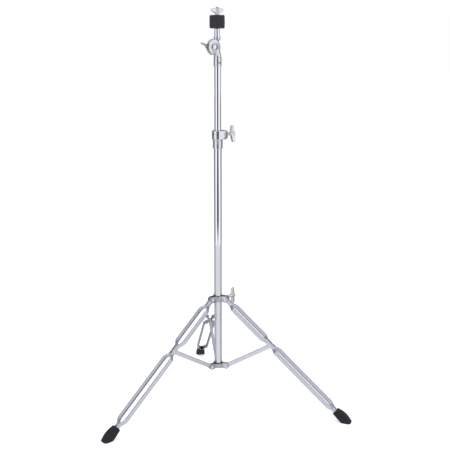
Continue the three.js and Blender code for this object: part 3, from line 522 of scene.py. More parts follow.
# %% Wings
def wing_rings(span, tip_r, low, high, tip_z, thickness, hand):
    """One wing along X from the hub's middle, in the hub's frame with its axis along Z."""
    tip_x, tip_low, tip_high = span - tip_r, tip_z - tip_r, tip_z + tip_r
    stations = [tip_x * i / 14 for i in range(15)]
    stations += [tip_x + tip_r * sin(pi / 2 * i / 8) for i in range(1, 8)] + [span - 0.02]
    rings = []
    for x in stations:
        k = min(1.0, x / tip_x)
        if x <= tip_x:
            lower = (1 - k) ** 2 * low + 2 * k * (1 - k) * (2 * low + tip_low) / 3 + k * k * tip_low
            upper = (1 - k) ** 2 * high + k * (1 - k) * (high + tip_high) + k * k * tip_high
            thin = 1.0
        else:
            rest = sqrt(max(0.0, tip_r ** 2 - (x - tip_x) ** 2))
            lower, upper = tip_z - rest, tip_z + rest
            thin = max(0.2, (rest / tip_r) ** 0.6)
        middle, wide = (lower + upper) / 2, max(0.05, (upper - lower) / 2)
        thick = thickness / 2 * (1.04 - 0.16 * k) * thin
        rings.append([(hand * x, hand * thick * abs(s) ** 0.75 * (1 if s > 0 else -1),
                       middle + wide * abs(c) ** 0.85 * (1 if c > 0 else -1)) for c, s in compass(24)])
    return rings


def add_winged(name, node, place, hub_profile, hub_edge, wing):
    shells = [turned(hub_profile, 56, hub_edge)] + [(wing_rings(*wing, hand), False) for hand in (1, -1)]
    return add_piece(name, shells, place, node)


def add_wing_bolt(name, node, place, tip, reach):
    """A bolt along +Y of its place, from its tip to its hub's outer end, both counted from the tube."""
    neck = reach - 19.5
    hub = [(0, tip), (bolt_r, tip), (bolt_r, neck), (4.3, neck + 0.3), (5, neck + 4.9),
           (5, reach - 1.2), (3.8, reach), (0, reach)]
    wing = (24.6, 6, reach - 16, reach - 1.2, reach - 7.6, 4.4)
    return add_winged(name, node, place @ turn(-pi / 2, "X"), hub, 0.8, wing)


def nut_hub(base_r, nut_r, height):
    flare = base_r - nut_r
    return [(0, 0), (base_r, 0), (base_r, flare), (nut_r, 2 * flare),
            (nut_r, height - 1.6), (nut_r - 1.6, height), (0, height)]


# %% The four winged pieces
clamp_azimuth, clamp_bolt_height = 84.6, 14.8
clamp_place = facing(radians(clamp_azimuth), heights("base_tube")[1])
clamp_bolt_place = clamp_place @ shift(0, 0, clamp_bolt_height) @ turn(radians(69), "Y")
add_wing_bolt("clamp_winged_bolt", "clamp_wing_bolt", clamp_bolt_place, bore_r, 50.3)
collar_bolt_line = facing(radians(collar_bolt_azimuth), leg_pivot_z - collar_bolt_drop)
collar_bolt_place = collar_bolt_line @ turn(radians(87), "Y")
add_wing_bolt("collar_winged_bolt", "collar_wing_bolt", collar_bolt_place, bush_r, 63.4)

tilter_turn, tilt_offset, arm_offset = radians(33.4), 15.4, 1.5
disc_r, disc_thickness, mate, rear_boss_height = 20.9, 5.2, 1.1, 3
socket_z = heights("tilter_lower_half")[0]
tilt_rise = pivots["head_tilt"].z / MM - socket_z
tilter_place = shift(0, tube_y, socket_z) @ turn(tilter_turn, "Z")
rear_seat = mate + disc_thickness + rear_boss_height + gap
tilter_nut_height = 19
tilter_nut_place = (tilter_place @ shift(-tilt_offset, 0, tilt_rise) @ shift(0, rear_seat, 0)
                    @ turn(radians(27), "Y") @ turn(-pi / 2, "X"))
add_winged("tilter_winged_nut", "tilter_wing_nut", tilter_nut_place, nut_hub(7, 5.4, tilter_nut_height), 0.7,
           (25.8, 6, 3.4, 17.4, 14, 4.6))

arm_place = tube_place @ turn(tilter_turn, "Z") @ shift(-arm_offset, 0, 0)
top_nut_azimuth, top_nut_height = radians(249.8), 17.1
top_nut_place = arm_place @ shift(0, 0, heights("top_wing_nut")[0])
top_nut_place = top_nut_place @ turn(pi / 2 - top_nut_azimuth - tilter_turn, "Z")
top_hub = nut_hub(6.6, 5.3, top_nut_height)[:-1]
top_hub += [(hole_r, top_nut_height), (hole_r, top_nut_height - 0.9), (0, top_nut_height - 0.9)]
add_winged("seat_winged_nut", "top_wing_nut", top_nut_place, top_hub, 0.5, (19, 4.3, 1.8, 17.1, 12.8, 4))
print("winged pieces: 4")

# %% [markdown]
# ## The height clamp
# The clamp is one casting: a teardrop head with a nose for the wing bolt, over a plain band round the lower
# tube. From above it is two circles joined by slightly full cheeks, and the nose is rounded off towards its
# top and bottom. Rings of that outline climb the head, run over the top, down the bore and back up the
# band. The holes for the bolt and the set screw are drilled afterwards.

# %% Clamp casting and its nylon bush
body_r, nose_r, nose_reach, head_height = 16.5, 8.4, 28.9, 25.4


def teardrop(reach, inset):
    """Outline seen from above, as (x, y), for a nose that reaches so far along Y, with full cheeks."""
    back, front, centre = body_r - inset, nose_r - inset, reach - nose_r
    lean = acos((back - front) / centre)
    start = min(lean + radians(9), radians(88))
    deep = (centre ** 2 - (back - front) ** 2) / 2 / (back - front - centre * cos(start))
    finish = atan2(deep * sin(start), centre + deep * cos(start))
    outline = []
    for i in range(120):
        direction = 2 * pi * i / 120
        off = (direction - pi / 2 + pi) % (2 * pi) - pi
        if abs(off) < finish:
            x, y, radius = 0, centre, front
        elif abs(off) > start:
            x, y, radius = 0, 0, back
        else:
            x, y, radius = (deep if off > 0 else -deep) * sin(start), -deep * cos(start), deep + back
        outline.append((x + radius * cos(direction), y + radius * sin(direction)))
    return outline


def nose_reach_at(height):
    """The nose's reach at a height on the head: rounded in at the top and more so at the bottom."""
    under = 1 - sqrt(min(1.0, height / 8.5))
    over = 1 - sqrt(min(1.0, (head_height - height) / 6))
    return nose_reach - 8 * under ** 2 - 5 * over ** 2


def circle_like(outline, radius, height):
    """A circle whose points lie in the same directions as those of an outline."""
    return [(radius * cos(atan2(y, x)), radius * sin(atan2(y, x)), height) for x, y in outline]


head_steps = [(0, 1.9), (0.25, 1.0), (0.8, 0.35), (1.8, 0)]
head_steps += [(height, 0) for height in stretch(2.4, 23.4, 1.5)]
head_steps += [(24.2, 0.2), (24.9, 0.6), (25.25, 1.2), (head_height, 2.1)]
clamp_rings = [[(x, y, height) for x, y in teardrop(nose_reach_at(height), inset)]
               for height, inset in head_steps]
bore_steps = [(12.7, 25.4), (12.3, 25.0), (12.3, 0.1), (11.4, 0.1), (11.4, -24.3), (11.8, -24.8)]
band_steps = [(12.9, -24.8), (13.6, -24.5), (13.93, -23.9), (14, -23.2),
              (14, -0.9), (14.12, -0.35), (14.5, 0)]
around = teardrop(nose_reach, 0)
clamp_rings += [circle_like(around, radius, height) for radius, height in bore_steps + band_steps]
clamp_piece = add_piece("clamp_casting", [(clamp_rings, True)], clamp_place, "clamp_body")
grub_azimuth = 238
grub_line = turn(radians(clamp_azimuth - grub_azimuth), "Z") @ shift(0, 0, clamp_bolt_height)
grub_line = grub_line @ turn(-pi / 2, "X")
carve(clamp_piece, [bolt_drill(0, clamp_bolt_height), moved(turned(pipe(0, 2.5, 8, 20), 32), grub_line)])
liner = [(bore_r, gap), (12, gap), (12, 25.1), (11.4, 25.5), (bore_r, 25.5)]
clamp_liner = add_piece("clamp_nylon_bush", [turned(liner, 72, 0.25, closed=True)], clamp_place, "clamp_bush")
carve(clamp_liner, [bolt_drill(0, clamp_bolt_height)])
print("clamp casting:", len(clamp_piece.data.polygons), "faces")

# %% [markdown]
# ## Set screws and the nut boss
# Both set screws have a hexagon socket, and the collar's bolt runs in a hexagon nut welded to a plate. A
# circle and a hexagon with the same number of points can be joined like any two rings.

# %% Set screws and nut boss
def hexagon(radius, height, soft=0.0):
    """A hexagon ring with corners at the radius; soft draws it towards a circle."""
    ring = []
    for i in range(48):
        swing = 2 * pi * i / 48
        flat = radius * cos(pi / 6) / cos((swing % (pi / 3)) - pi / 6)
        r = flat * (1 - soft) + min(flat, radius * 0.93) * soft
        ring.append((r * cos(swing), r * sin(swing), height))
    return ring


def screw_shell(low, length):
    high = low + length
    rings = [circle(r, z) for r, z in
             ((1.6, low), (2.2, low + 0.5), (2.2, high - 0.3), (1.95, high), (1.45, high))]
    rings += [hexagon(1.2, high - 0.15), hexagon(1.2, high - 1.6), hexagon(0.2, high - 1.9)]
    return rings, False


add_piece("clamp_set_screw", [screw_shell(12.3, 3.2)], clamp_place @ grub_line, "clamp_grub_screw")
lock_azimuth, lock_height = radians(155.6), 9.2
lock_line = turn(-(lock_azimuth + tilter_turn), "Z") @ shift(0, 0, lock_height) @ turn(-pi / 2, "X")
add_piece("tilter_lock_screw", [screw_shell(bore_r, 2.6)], tilter_place @ lock_line, "tilter_set_screw")
start = plate_inner_r + plate_wall + gap
end = start + 12.2
boss = [hexagon(6.9, start), hexagon(7.6, start + 0.5), hexagon(7.6, end - 1), hexagon(7.6, end - 0.4, 1),
        circle(6.5, end), circle(4.6, end), circle(hole_r, end - 0.3), circle(hole_r, start)]
add_piece("collar_nut_boss", [(boss, True)], collar_bolt_line @ turn(-pi / 2, "X"), "collar_wing_bolt_nut")
print("screws and boss ready")

# %% [markdown]
# ## The tilter
# Two castings meet face to face on radial teeth. The lower one has a socket with a rolled bead at each end,
# a neck that flattens into the disc, and a raised ring round the bolt's head. The upper one has a disc
# behind, and a stem that grows into a round collar. Turned skins make the round parts. Neck and stem are
# lofts through a few sections, and the space that the other disc turns in is cut away.

# %% Shared tilter shapes
tooth_count = 20
sweep_r = disc_r + 0.6
tilt_local = shift(-tilt_offset, 0, tilt_rise) @ turn(-pi / 2, "X")


def tooth_shell(away):
    """A crown of radial teeth about Z, from its flanks. Away is 1 for the rear disc and -1 for the front."""
    rings = []
    for i, (east, north) in enumerate(compass(4 * tooth_count)):
        crest, root = (mate, 0.72, 0.34, 0.72)[i % 4] * away, away * (mate + 0.6)
        section = [(12.6, root), (19.8, root), (19.8, crest * 0.999), (19.3, crest), (13.1, crest),
                   (12.6, crest * 0.999)]
        rings.append([(r * east, r * north, z) for r, z in section])
    return rings, True


def loft(sections, steps):
    """A smoothed shell through oval sections: (height, middle x, middle y, half x, half y)."""
    stations = smoothed([sections[0], *sections, sections[-1]], steps) + [sections[-1]]
    return [[(mid_x + half_x * c, mid_y + half_y * s, z) for c, s in compass(56)]
            for z, mid_x, mid_y, half_x, half_y in stations], False


def add_shells(piece, shells):
    """Joins more closed shells to a piece that is already carved."""
    extra = skin_mesh("extra", shells)
    joined = bmesh.new()
    joined.from_mesh(piece.data)
    joined.from_mesh(extra)
    joined.to_mesh(piece.data)
    joined.free()
    bpy.data.meshes.remove(extra)
    piece.data.shade_smooth()
    piece.data.set_sharp_from_angle(angle=radians(38))


def add_tilt_parts(piece, disc, boss, away):
    """Adds what is turned about the tilt axis: the disc, its raised ring or boss, and the teeth."""
    shells = [turned(disc, 96, 0.2, closed=True), turned(boss, 64, 0.2, closed=True), tooth_shell(away)]
    add_shells(piece, [moved(shell, tilt_local) for shell in shells])


print("teeth:", tooth_count)

# %% Lower half with its socket and neck
socket_r, top, bead_r = 11.1, 22.6, 11.8
socket_profile = [(bore_r, 0), (10.7, 0), (11.5, 0.35), (bead_r, 1.0), (bead_r, 1.6), (11.5, 2.25),
                  (socket_r, 2.7), (socket_r, top - 2.7), (11.5, top - 2.25), (bead_r, top - 1.6),
                  (bead_r, top - 1.0), (11.4, top - 0.3), (10.6, top), (0, top), (0, top - 2.3),
                  (bore_r, top - 2.3)]
neck_shares = [(0, 0, 0, 1, 1), (0.12, 0.08, 0.07, 0.98, 0.97), (0.24, 0.25, 0.23, 0.96, 0.86),
               (0.36, 0.46, 0.49, 0.92, 0.68), (0.48, 0.64, 0.74, 0.86, 0.5), (0.62, 0.76, 0.8, 0.76, 0.42),
               (0.8, 0.84, 0.75, 0.6, 0.38), (1, 0.9, 0.55, 0.42, 0.3)]
neck_sections = [(top - 1 + up * 40, -lean * 9, -forward * 7.6, wide * 10.6, deep * 10.6)
                 for up, lean, forward, wide, deep in neck_shares]
face = -mate - disc_thickness
ring_front = face - 4.6
pocket, pocket_r = ring_front + 3.6, 7.2
front_disc = [(hole_r, face - 1), (19.6, face - 0.02), (20.4, face + 0.3), (disc_r, face + 1),
              (disc_r, -mate - 0.3), (disc_r - 0.4, -mate), (9.3, -mate), (9.3, -3), (hole_r, -3)]
raised_ring = [(hole_r, -mate - 2), (hole_r, pocket), (pocket_r, pocket), (pocket_r, ring_front + 0.4),
               (7.7, ring_front), (9.7, ring_front), (10.5, ring_front + 0.4), (10.8, ring_front + 1.2),
               (10.95, face + 0.4), (10.95, -mate - 2)]
neck_piece = add_piece("tilter_front_casting", [loft(neck_sections, 6)], tilter_place, "tilter_lower_half")
swept = turned(pipe(0, sweep_r, -mate, 14), 96)
head_room = turned(pipe(0, pocket_r, ring_front - 9, pocket), 56)
carve(neck_piece, [moved(swept, tilt_local), moved(head_room, tilt_local)])
add_shells(neck_piece, [turned(socket_profile, 80, closed=True)])
add_tilt_parts(neck_piece, front_disc, raised_ring, -1)
print("front casting:", len(neck_piece.data.polygons), "faces")

# %% Upper half with its stem and collar
rear = mate + disc_thickness
boss_face = rear + rear_boss_height
collar_low = sweep_r + tilt_rise
collar_r, collar_height, stem_half = 9.9, 5.8, 8.8
rear_disc = [(hole_r, mate), (disc_r - 0.4, mate), (disc_r, mate + 0.3), (disc_r, rear - 1),
             (20.4, rear - 0.3), (19.6, rear), (hole_r, rear)]
rear_boss = [(hole_r, rear - 1), (10.1, rear - 1), (10, boss_face - 1), (9.7, boss_face - 0.3),
             (9, boss_face), (hole_r, boss_face)]
stem_sections = []
for step in range(7):
    k = step / 6
    ease = k * k * (3 - 2 * k)
    front, back = mate + (-stem_half - mate) * ease, rear + (stem_half - rear) * ease
    lean = tilt_offset / 2 + (arm_offset - tilt_offset / 2) * ease
    height = tilt_rise + disc_r / 4 + (collar_low + 1.1 - tilt_rise - disc_r / 4) * k
    stem_sections.append((height, -lean, (front + back) / 2, stem_half, (back - front) / 2))
stem_piece = add_piece("tilter_rear_casting", [loft(stem_sections, 5)], tilter_place, "tilter_upper_half")
carve(stem_piece, [moved(turned(pipe(0, sweep_r, -14, mate), 96), tilt_local)])
low, high = collar_low, collar_low + collar_height
seat_ring = [(8.25, low + 1.3), (8.25, high - 0.4), (8.6, high), (9.2, high), (9.75, high - 0.5),
             (collar_r, high - 1.4), (collar_r, low + 1.4), (9.75, low + 0.5), (9.2, low), (0, low),
             (0, low + 1.3)]
add_shells(stem_piece, [moved(turned(seat_ring, 72, closed=True), shift(-arm_offset, 0, 0))])
add_tilt_parts(stem_piece, rear_disc, rear_boss, 1)
print("rear casting:", len(stem_piece.data.polygons), "faces")

# %% [markdown]
# ## Tilter bolt
# A coach bolt: its domed head sits in the raised ring, and its shank reaches through both discs into the
# wing nut.

# %% Tilter bolt
head_r, head_rise, head_rim, nut_cap = 6.9, 3.6, 1.2, 3.2
seat = pocket - gap
swings = [pi / 2 * i / 10 for i in range(11)]
head = [(head_r * sin(swing), seat - head_rim - (head_rise - head_rim) * cos(swing)) for swing in swings]
bolt_end = rear_seat + tilter_nut_height - nut_cap - gap
bolt_profile = head + [(head_r, seat - 0.5), (6.5, seat), (bolt_r, seat),
                       (bolt_r, bolt_end - 0.6), (3.4, bolt_end), (0, bolt_end)]
add_piece("tilter_coach_bolt", [turned(bolt_profile, 56)], tilter_place @ tilt_local, "tilter_bolt")
print("bolt reaches", round(bolt_end - seat + head_rise, 1), "mm")

# %% [markdown]
# ## Cymbal seat
# A thick chromed arm carries an 8 mm threaded rod. The rod's radius follows a helix, so the turns of its
# thread show where it leaves the wing nut.

# %% Arm and threaded rod
arm_r, socket_depth = 7.95, 14.3
low, high = heights("cymbal_arm")
arm_profile = [(0, low), (arm_r, low), (arm_r, low + 1), (arm_r, high - 0.9), (arm_r, high - 0.6),
               (7.8, high - 0.2), (7.4, high), (4.6, high), (hole_r, high - 0.3),
               (hole_r, high - socket_depth), (0, high - socket_depth)]
add_piece("seat_arm", [turned(arm_profile, 72)], arm_place, "cymbal_arm")


def thread_shell(low, high):
    pitch, depth, points = 1.25, 0.5, 32
    rings = []
    for height in stretch(low, high, pitch / 6):
        taper = 0.78 + 0.22 * min(1.0, high - height)
        ring = []
        for i, (east, north) in enumerate(compass(points)):
            phase = (height / pitch - i / points) % 1.0
            r = (bolt_r - depth * abs(2 * phase - 1)) * taper
            ring.append((r * east, r * north, height))
        rings.append(ring)
    return rings, False


low, high = heights("cymbal_rod")
add_piece("seat_threaded_rod", [thread_shell(low, high)], arm_place, "cymbal_rod", sharp=60)
print("rod", round(high - low, 1), "mm")

# %% [markdown]
# ## The felts
# Two thick wool washers lie on each other until a cymbal goes between them. Felt is pressed, so its outline
# is a little uneven and its surface matted: every point of a close mesh is pushed in or out by a small fixed
# noise pattern, with slow waves for the pressing and finer ones for the mat.

# %% Felts
def felt_rings(thick, low_edge, high_edge, seed):
    """A washer that bellies out a little, with its outer edges rounded and its surface matted."""
    radius, inner = 20.9, 6.2
    eye, bends = inner + 0.6, [(sin(pi / 2 * i / 6), cos(pi / 2 * i / 6)) for i in range(7)]
    profile = [(inner, 0.6), (eye, 0.05)]
    profile += [(eye + (radius - low_edge - eye) * i / 8, 0) for i in range(1, 8)]
    profile += [(radius - low_edge * (1 - s), low_edge * (1 - c)) for s, c in bends]
    profile += [(radius, low_edge + (thick - low_edge - high_edge) * i / 8) for i in range(1, 8)]
    profile += [(radius - high_edge * (1 - c), thick - high_edge * (1 - s)) for s, c in bends]
    profile += [(eye + (radius - high_edge - eye) * (1 - i / 8), thick) for i in range(1, 9)]
    profile += [(inner, thick - 0.6)]
    meeting = thick if high_edge < low_edge else 0
    rings = []
    for r, z in profile:
        if r > 10:
            r -= 0.6 * ((z - meeting) / thick) ** 2
        if abs(z - meeting) < 0.6:
            z += 0.14 if meeting else -0.14
        ring = []
        for east, north in compass(144):
            place = Vector((r * east, r * north, z + seed))
            wave = noise.noise(place * 0.09) * 0.16 + noise.noise(place * 0.42) * 0.07
            out = 1 + (wave / r if r > 10 else 0)
            sink = 0 if abs(z - meeting) < 1 else 0.05 * abs(noise.noise(place * 0.3))
            ring.append((place.x * out, place.y * out, z - sink if z > thick / 2 else z + sink))
        rings.append(ring)
    return rings


for name, node, edges, seed in (("lower_wool_felt", "lower_felt", (3.0, 0.4), 0.0),
                                ("upper_wool_felt", "upper_felt", (0.4, 3.0), 57.0)):
    low, high = heights(node)
    rings = felt_rings(high - low, *edges, seed)
    felt = add_piece(name, [(rings, True)], arm_place @ shift(0, 0, low), node, sharp=60)
    print(name, len(felt.data.vertices), "points")

# %% [markdown]
# ## Shared surface effects
# Chrome looks flat when every point has the same gloss, so polishing marks and faint haze vary its
# roughness. Felt, rubber and nylon have a grain at two scales, and what faces up gathers a little dust. Each
# effect is a node group that gives masks or heights only, and every finish uses it at its own scale.

# %% Helpers for nodes and node groups
def feed(tree, node, inputs):
    """Gives inputs their values, or a link where the value is another node's output."""
    for place, value in inputs.items():
        if isinstance(value, bpy.types.NodeSocket):
            tree.links.new(value, node.inputs[place])
        else:
            node.inputs[place].default_value = value
    return node


def add_node(tree, kind, inputs={}, **settings):
    node = tree.nodes.new(kind)
    for label, value in settings.items():
        setattr(node, label, value)
    return feed(tree, node, inputs)


def arithmetic(tree, operation, first, second, clamp=False):
    node = add_node(tree, "ShaderNodeMath", {0: first, 1: second}, operation=operation, use_clamp=clamp)
    return node.outputs[0]


def noise_at(tree, vector, scale, detail, roughness=0.55):
    inputs = {"Vector": vector, "Scale": scale, "Detail": detail, "Roughness": roughness}
    return add_node(tree, "ShaderNodeTexNoise", inputs).outputs["Fac"]


def new_group(name, inputs, outputs):
    """An empty group that takes a vector and some numbers, given as name: default."""
    tree = effects[name] = bpy.data.node_groups.new(name, "ShaderNodeTree")
    tree.interface.new_socket("Vector", in_out="INPUT", socket_type="NodeSocketVector")
    for label, value in inputs.items():
        tree.interface.new_socket(label, in_out="INPUT", socket_type="NodeSocketFloat").default_value = value
    for label in outputs:
        tree.interface.new_socket(label, in_out="OUTPUT", socket_type="NodeSocketFloat")
    return tree, tree.nodes.new("NodeGroupInput").outputs, tree.nodes.new("NodeGroupOutput")


effects = {}
print("node helpers ready")

# %% Polishing marks
tree, given, result = new_group("Polishing marks", {"Across": 900.0, "Along": 12.0}, ["Streaks", "Haze"])
parts = add_node(tree, "ShaderNodeSeparateXYZ", {0: given["Vector"]}).outputs
scales = {"X": given["Across"], "Y": given["Across"], "Z": given["Along"]}
stretched = {axis: arithmetic(tree, "MULTIPLY", parts[axis], scale) for axis, scale in scales.items()}
joined_again = add_node(tree, "ShaderNodeCombineXYZ", stretched).outputs[0]
feed(tree, result, {"Streaks": noise_at(tree, joined_again, 1.0, 2.0),
                    "Haze": noise_at(tree, given["Vector"], 38.0, 4.0, 0.6)})
print("made:", tree.name)

# %% Two-scale grain
scales = {"Coarse": 300.0, "Fine": 1800.0, "Fine Share": 0.5}
tree, given, result = new_group("Two-scale grain", scales, ["Mottle", "Height"])
coarse = noise_at(tree, given["Vector"], given["Coarse"], 3.0, 0.6)
fine = noise_at(tree, given["Vector"], given["Fine"], 2.0, 0.7)
rest = arithmetic(tree, "SUBTRACT", 1.0, given["Fine Share"])
height = arithmetic(tree, "ADD", arithmetic(tree, "MULTIPLY", coarse, rest),
                    arithmetic(tree, "MULTIPLY", fine, given["Fine Share"]))
feed(tree, result, {"Mottle": coarse, "Height": height})
print("made:", tree.name)

# %% Settled dust and rubbed edges
tree, given, result = new_group("Settled dust", {"Amount": 0.3}, ["Mask"])
normal = add_node(tree, "ShaderNodeNewGeometry").outputs["Normal"]
upward = add_node(tree, "ShaderNodeSeparateXYZ", {0: normal}).outputs["Z"]
level = arithmetic(tree, "POWER", arithmetic(tree, "MAXIMUM", upward, 0.0), 3.0)
patches = arithmetic(tree, "MULTIPLY", level, noise_at(tree, given["Vector"], 160.0, 5.0, 0.65))
feed(tree, result, {"Mask": arithmetic(tree, "MULTIPLY", patches, given["Amount"], clamp=True)})

tree, given, result = new_group("Rubbed edges", {"Reach": 6.0}, ["Mask"])
pointiness = add_node(tree, "ShaderNodeNewGeometry").outputs["Pointiness"]
raised = arithmetic(tree, "SUBTRACT", pointiness, 0.5)
edge = arithmetic(tree, "MULTIPLY", raised, given["Reach"], clamp=True)
broken = noise_at(tree, given["Vector"], 420.0, 4.0, 0.7)
feed(tree, result, {"Mask": arithmetic(tree, "MULTIPLY", edge, broken, clamp=True)})
print("effects:", ", ".join(effects))

# %% [markdown]
# ## Finishes
# The real stand has few: bright chrome on the tubes, a satin one on the pressed channels, a duller one on
# the plates, a slightly wavy one on the castings, black nylon, black rubber, dark felt and blackened steel.
# Chrome has a cool grey colour of its own, so it turns white only where it mirrors something brighter than
# the room. Soft finishes get their depth from grain and a little sheen.

# %% Helpers for finishes
def new_finish(name):
    """A material with one Principled shader, and a way to add groups to it."""
    material = bpy.data.materials.new(name)
    material.use_nodes = True
    tree = material.node_tree
    coordinates = add_node(tree, "ShaderNodeTexCoord").outputs["Object"]

    def effect(kind, **values):
        inputs = {label.replace("_", " "): value for label, value in values.items()}
        node = add_node(tree, "ShaderNodeGroup", {"Vector": coordinates}, node_tree=effects[kind])
        return feed(tree, node, inputs).outputs

    return material, tree, tree.nodes["Principled BSDF"], effect


def spread(tree, mask, low, high, start=0.0, end=1.0):
    """Maps a mask, or a number from start to end, on to a range of numbers."""
    inputs = {"Value": mask, "From Min": start, "From Max": end, "To Min": low, "To Max": high}
    return add_node(tree, "ShaderNodeMapRange", inputs).outputs["Result"]


def tint(tree, mask, first, second):
    """Mixes two colours by a mask."""
    colours = [(*colour, 1.0) if isinstance(colour, tuple) else colour for colour in (first, second)]
    inputs = {"Factor": mask, 6: colours[0], 7: colours[1]}
    return add_node(tree, "ShaderNodeMix", inputs, data_type="RGBA").outputs[2]


def bump(tree, height, strength, distance):
    inputs = {"Strength": strength, "Distance": distance, "Height": height}
    return add_node(tree, "ShaderNodeBump", inputs).outputs["Normal"]


print("finish helpers ready")

# %% The chromes
def chrome(name, bright, deep, gloss, streak_scale, wave, wave_scale):
    """Plated metal: two tones of one colour, a range of gloss, polishing marks and a slight wave."""
    material, tree, shader, effect = new_finish(name)
    marks = effect("Polishing marks", Across=streak_scale[0], Along=streak_scale[1])
    grain = effect("Two-scale grain", Coarse=wave_scale, Fine=wave_scale * 6, Fine_Share=0.25)
    dust = effect("Settled dust", Amount=0.35)["Mask"]
    plated = tint(tree, marks["Haze"], deep, bright)
    plated = tint(tree, effect("Rubbed edges", Reach=7.0)["Mask"], plated, (0.74, 0.745, 0.76))
    streaks = spread(tree, marks["Streaks"], *gloss)
    rough = arithmetic(tree, "ADD", streaks, spread(tree, marks["Haze"], -0.02, 0.03))
    rough = arithmetic(tree, "ADD", rough, arithmetic(tree, "MULTIPLY", dust, 0.3), clamp=True)
    feed(tree, shader, {"Metallic": 1.0, "Base Color": tint(tree, dust, plated, (0.5, 0.5, 0.5)),
                        "Roughness": rough, "Normal": bump(tree, grain["Height"], 0.25, wave)})
    return material


finishes = {
    "polished_chrome": chrome("Bright tube chrome", (0.575, 0.587, 0.65), (0.545, 0.557, 0.62),
                              (0.03, 0.08), (900, 10), 0.00001, 140),
    "pressed_chrome": chrome("Pressed channel chrome", (0.51, 0.525, 0.60), (0.46, 0.475, 0.55),
                             (0.36, 0.5), (500, 30), 0.00005, 220),
    "dull_chrome": chrome("Dull plate chrome", (0.36, 0.37, 0.415), (0.31, 0.32, 0.365),
                          (0.26, 0.38), (400, 40), 0.00005, 260),
    "cast_chrome": chrome("Cast chrome", (0.51, 0.52, 0.565), (0.47, 0.48, 0.525),
                          (0.17, 0.24), (300, 60), 0.000025, 60),
}
print("chromes:", len(finishes))

# %% Nylon, rubber, felt and blackened steel
def soft_finish(name, colours, gloss, scales, height, shine=0.5, sheen=0.0, metallic=0.0):
    """A finish with a plain colour, a mottled one and a dusty one, and a grain that it stands up in."""
    colour, mottle, dusty = colours
    material, tree, shader, effect = new_finish(name)
    grain = effect("Two-scale grain", Coarse=scales[0], Fine=scales[1], Fine_Share=scales[2])
    body = tint(tree, spread(tree, grain["Mottle"], -0.6, 1.6), colour, mottle)
    body = tint(tree, effect("Rubbed edges", Reach=5.0)["Mask"], body, dusty)
    body = tint(tree, effect("Settled dust", Amount=0.3)["Mask"], body, dusty)
    feed(tree, shader, {"Base Color": body, "Roughness": spread(tree, grain["Height"], *gloss),
                        "Normal": bump(tree, grain["Height"], *height), "Metallic": metallic,
                        "Specular IOR Level": shine, "Sheen Weight": sheen, "Sheen Roughness": 0.45})
    return material


finishes["black_nylon"] = soft_finish(
    "Black nylon", [(0.016, 0.016, 0.018), (0.028, 0.028, 0.031), (0.09, 0.09, 0.095)],
    (0.38, 0.6), (600, 2600, 0.5), (0.3, 0.00008), shine=0.3)
finishes["black_rubber"] = soft_finish(
    "Moulded rubber", [(0.007, 0.007, 0.0125), (0.012, 0.012, 0.020), (0.04, 0.04, 0.05)],
    (0.5, 0.75), (420, 2400, 0.55), (0.45, 0.00014), shine=0.25, sheen=0.02)
finishes["dark_felt"] = soft_finish(
    "Pressed wool felt", [(0.020, 0.020, 0.026), (0.042, 0.042, 0.052), (0.09, 0.09, 0.1)],
    (0.85, 1.0), (520, 3200, 0.6), (0.9, 0.00035), shine=0.15, sheen=0.12)
finishes["dark_steel"] = soft_finish(
    "Blackened steel", [(0.06, 0.06, 0.065), (0.1, 0.1, 0.105), (0.3, 0.3, 0.3)],
    (0.3, 0.5), (700, 3000, 0.4), (0.3, 0.00005), metallic=1.0)
print("finishes:", len(finishes))

# %% Every piece and every CAD node gets its finish
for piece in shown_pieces():
    if piece.name not in nodes:
        piece.data.materials.clear()
        piece.data.materials.append(finishes[piece["finish"]])
for node_name, node in nodes.items():
    for place in node.material_slots:
        place.link = "OBJECT"
        place.material = finishes[slot_of[node_name]]

# %% [markdown]
# ## The studio
# The photograph is a product shot on a white sweep. Its tubes show two white bands, a dark line between
# them and greyer edges. Chrome shows only what stands round it, so curved cards do, seen by reflections
# alone: a white one in front with a dark gap where the camera is, grey ones at the sides and a dark one
# behind. The floor glows for reflections alone, brighter in front of the stand than elsewhere: a painted
# pool of light that the chrome mirrors. The lamps light felt, rubber and floor in the plain way.

# %% Camera
camera_x, camera_y, camera_z = -0.3721, -2.3238, 1.0987
camera_yaw, camera_pitch = radians(-9.588), radians(90 - 13.291)
camera_data = bpy.data.cameras.new("photo_camera")
camera_data.lens, camera_data.sensor_width = 67.917, 36.0
camera = new_object("photo_camera", camera_data)
camera.matrix_world = (Matrix.Translation((camera_x, tube_y * MM + camera_y, camera_z))
                       @ turn(camera_yaw, "Z") @ turn(camera_pitch, "X"))
scene.camera = camera
toward_camera = atan2(camera_x, camera_y)
print("camera stands", round(hypot(camera_x, camera_y), 3), "m from the tube")

# %% Floor
def add_stage(name, points, faces):
    """A mesh of the studio, and the empty node tree of its paint."""
    mesh = bpy.data.meshes.new(name)
    mesh.from_pydata(points, [], faces)
    thing = new_object(name, mesh)
    paint = bpy.data.materials.new(name)
    paint.use_nodes = True
    paint.node_tree.nodes.remove(paint.node_tree.nodes["Principled BSDF"])
    mesh.materials.append(paint)
    return thing, paint.node_tree


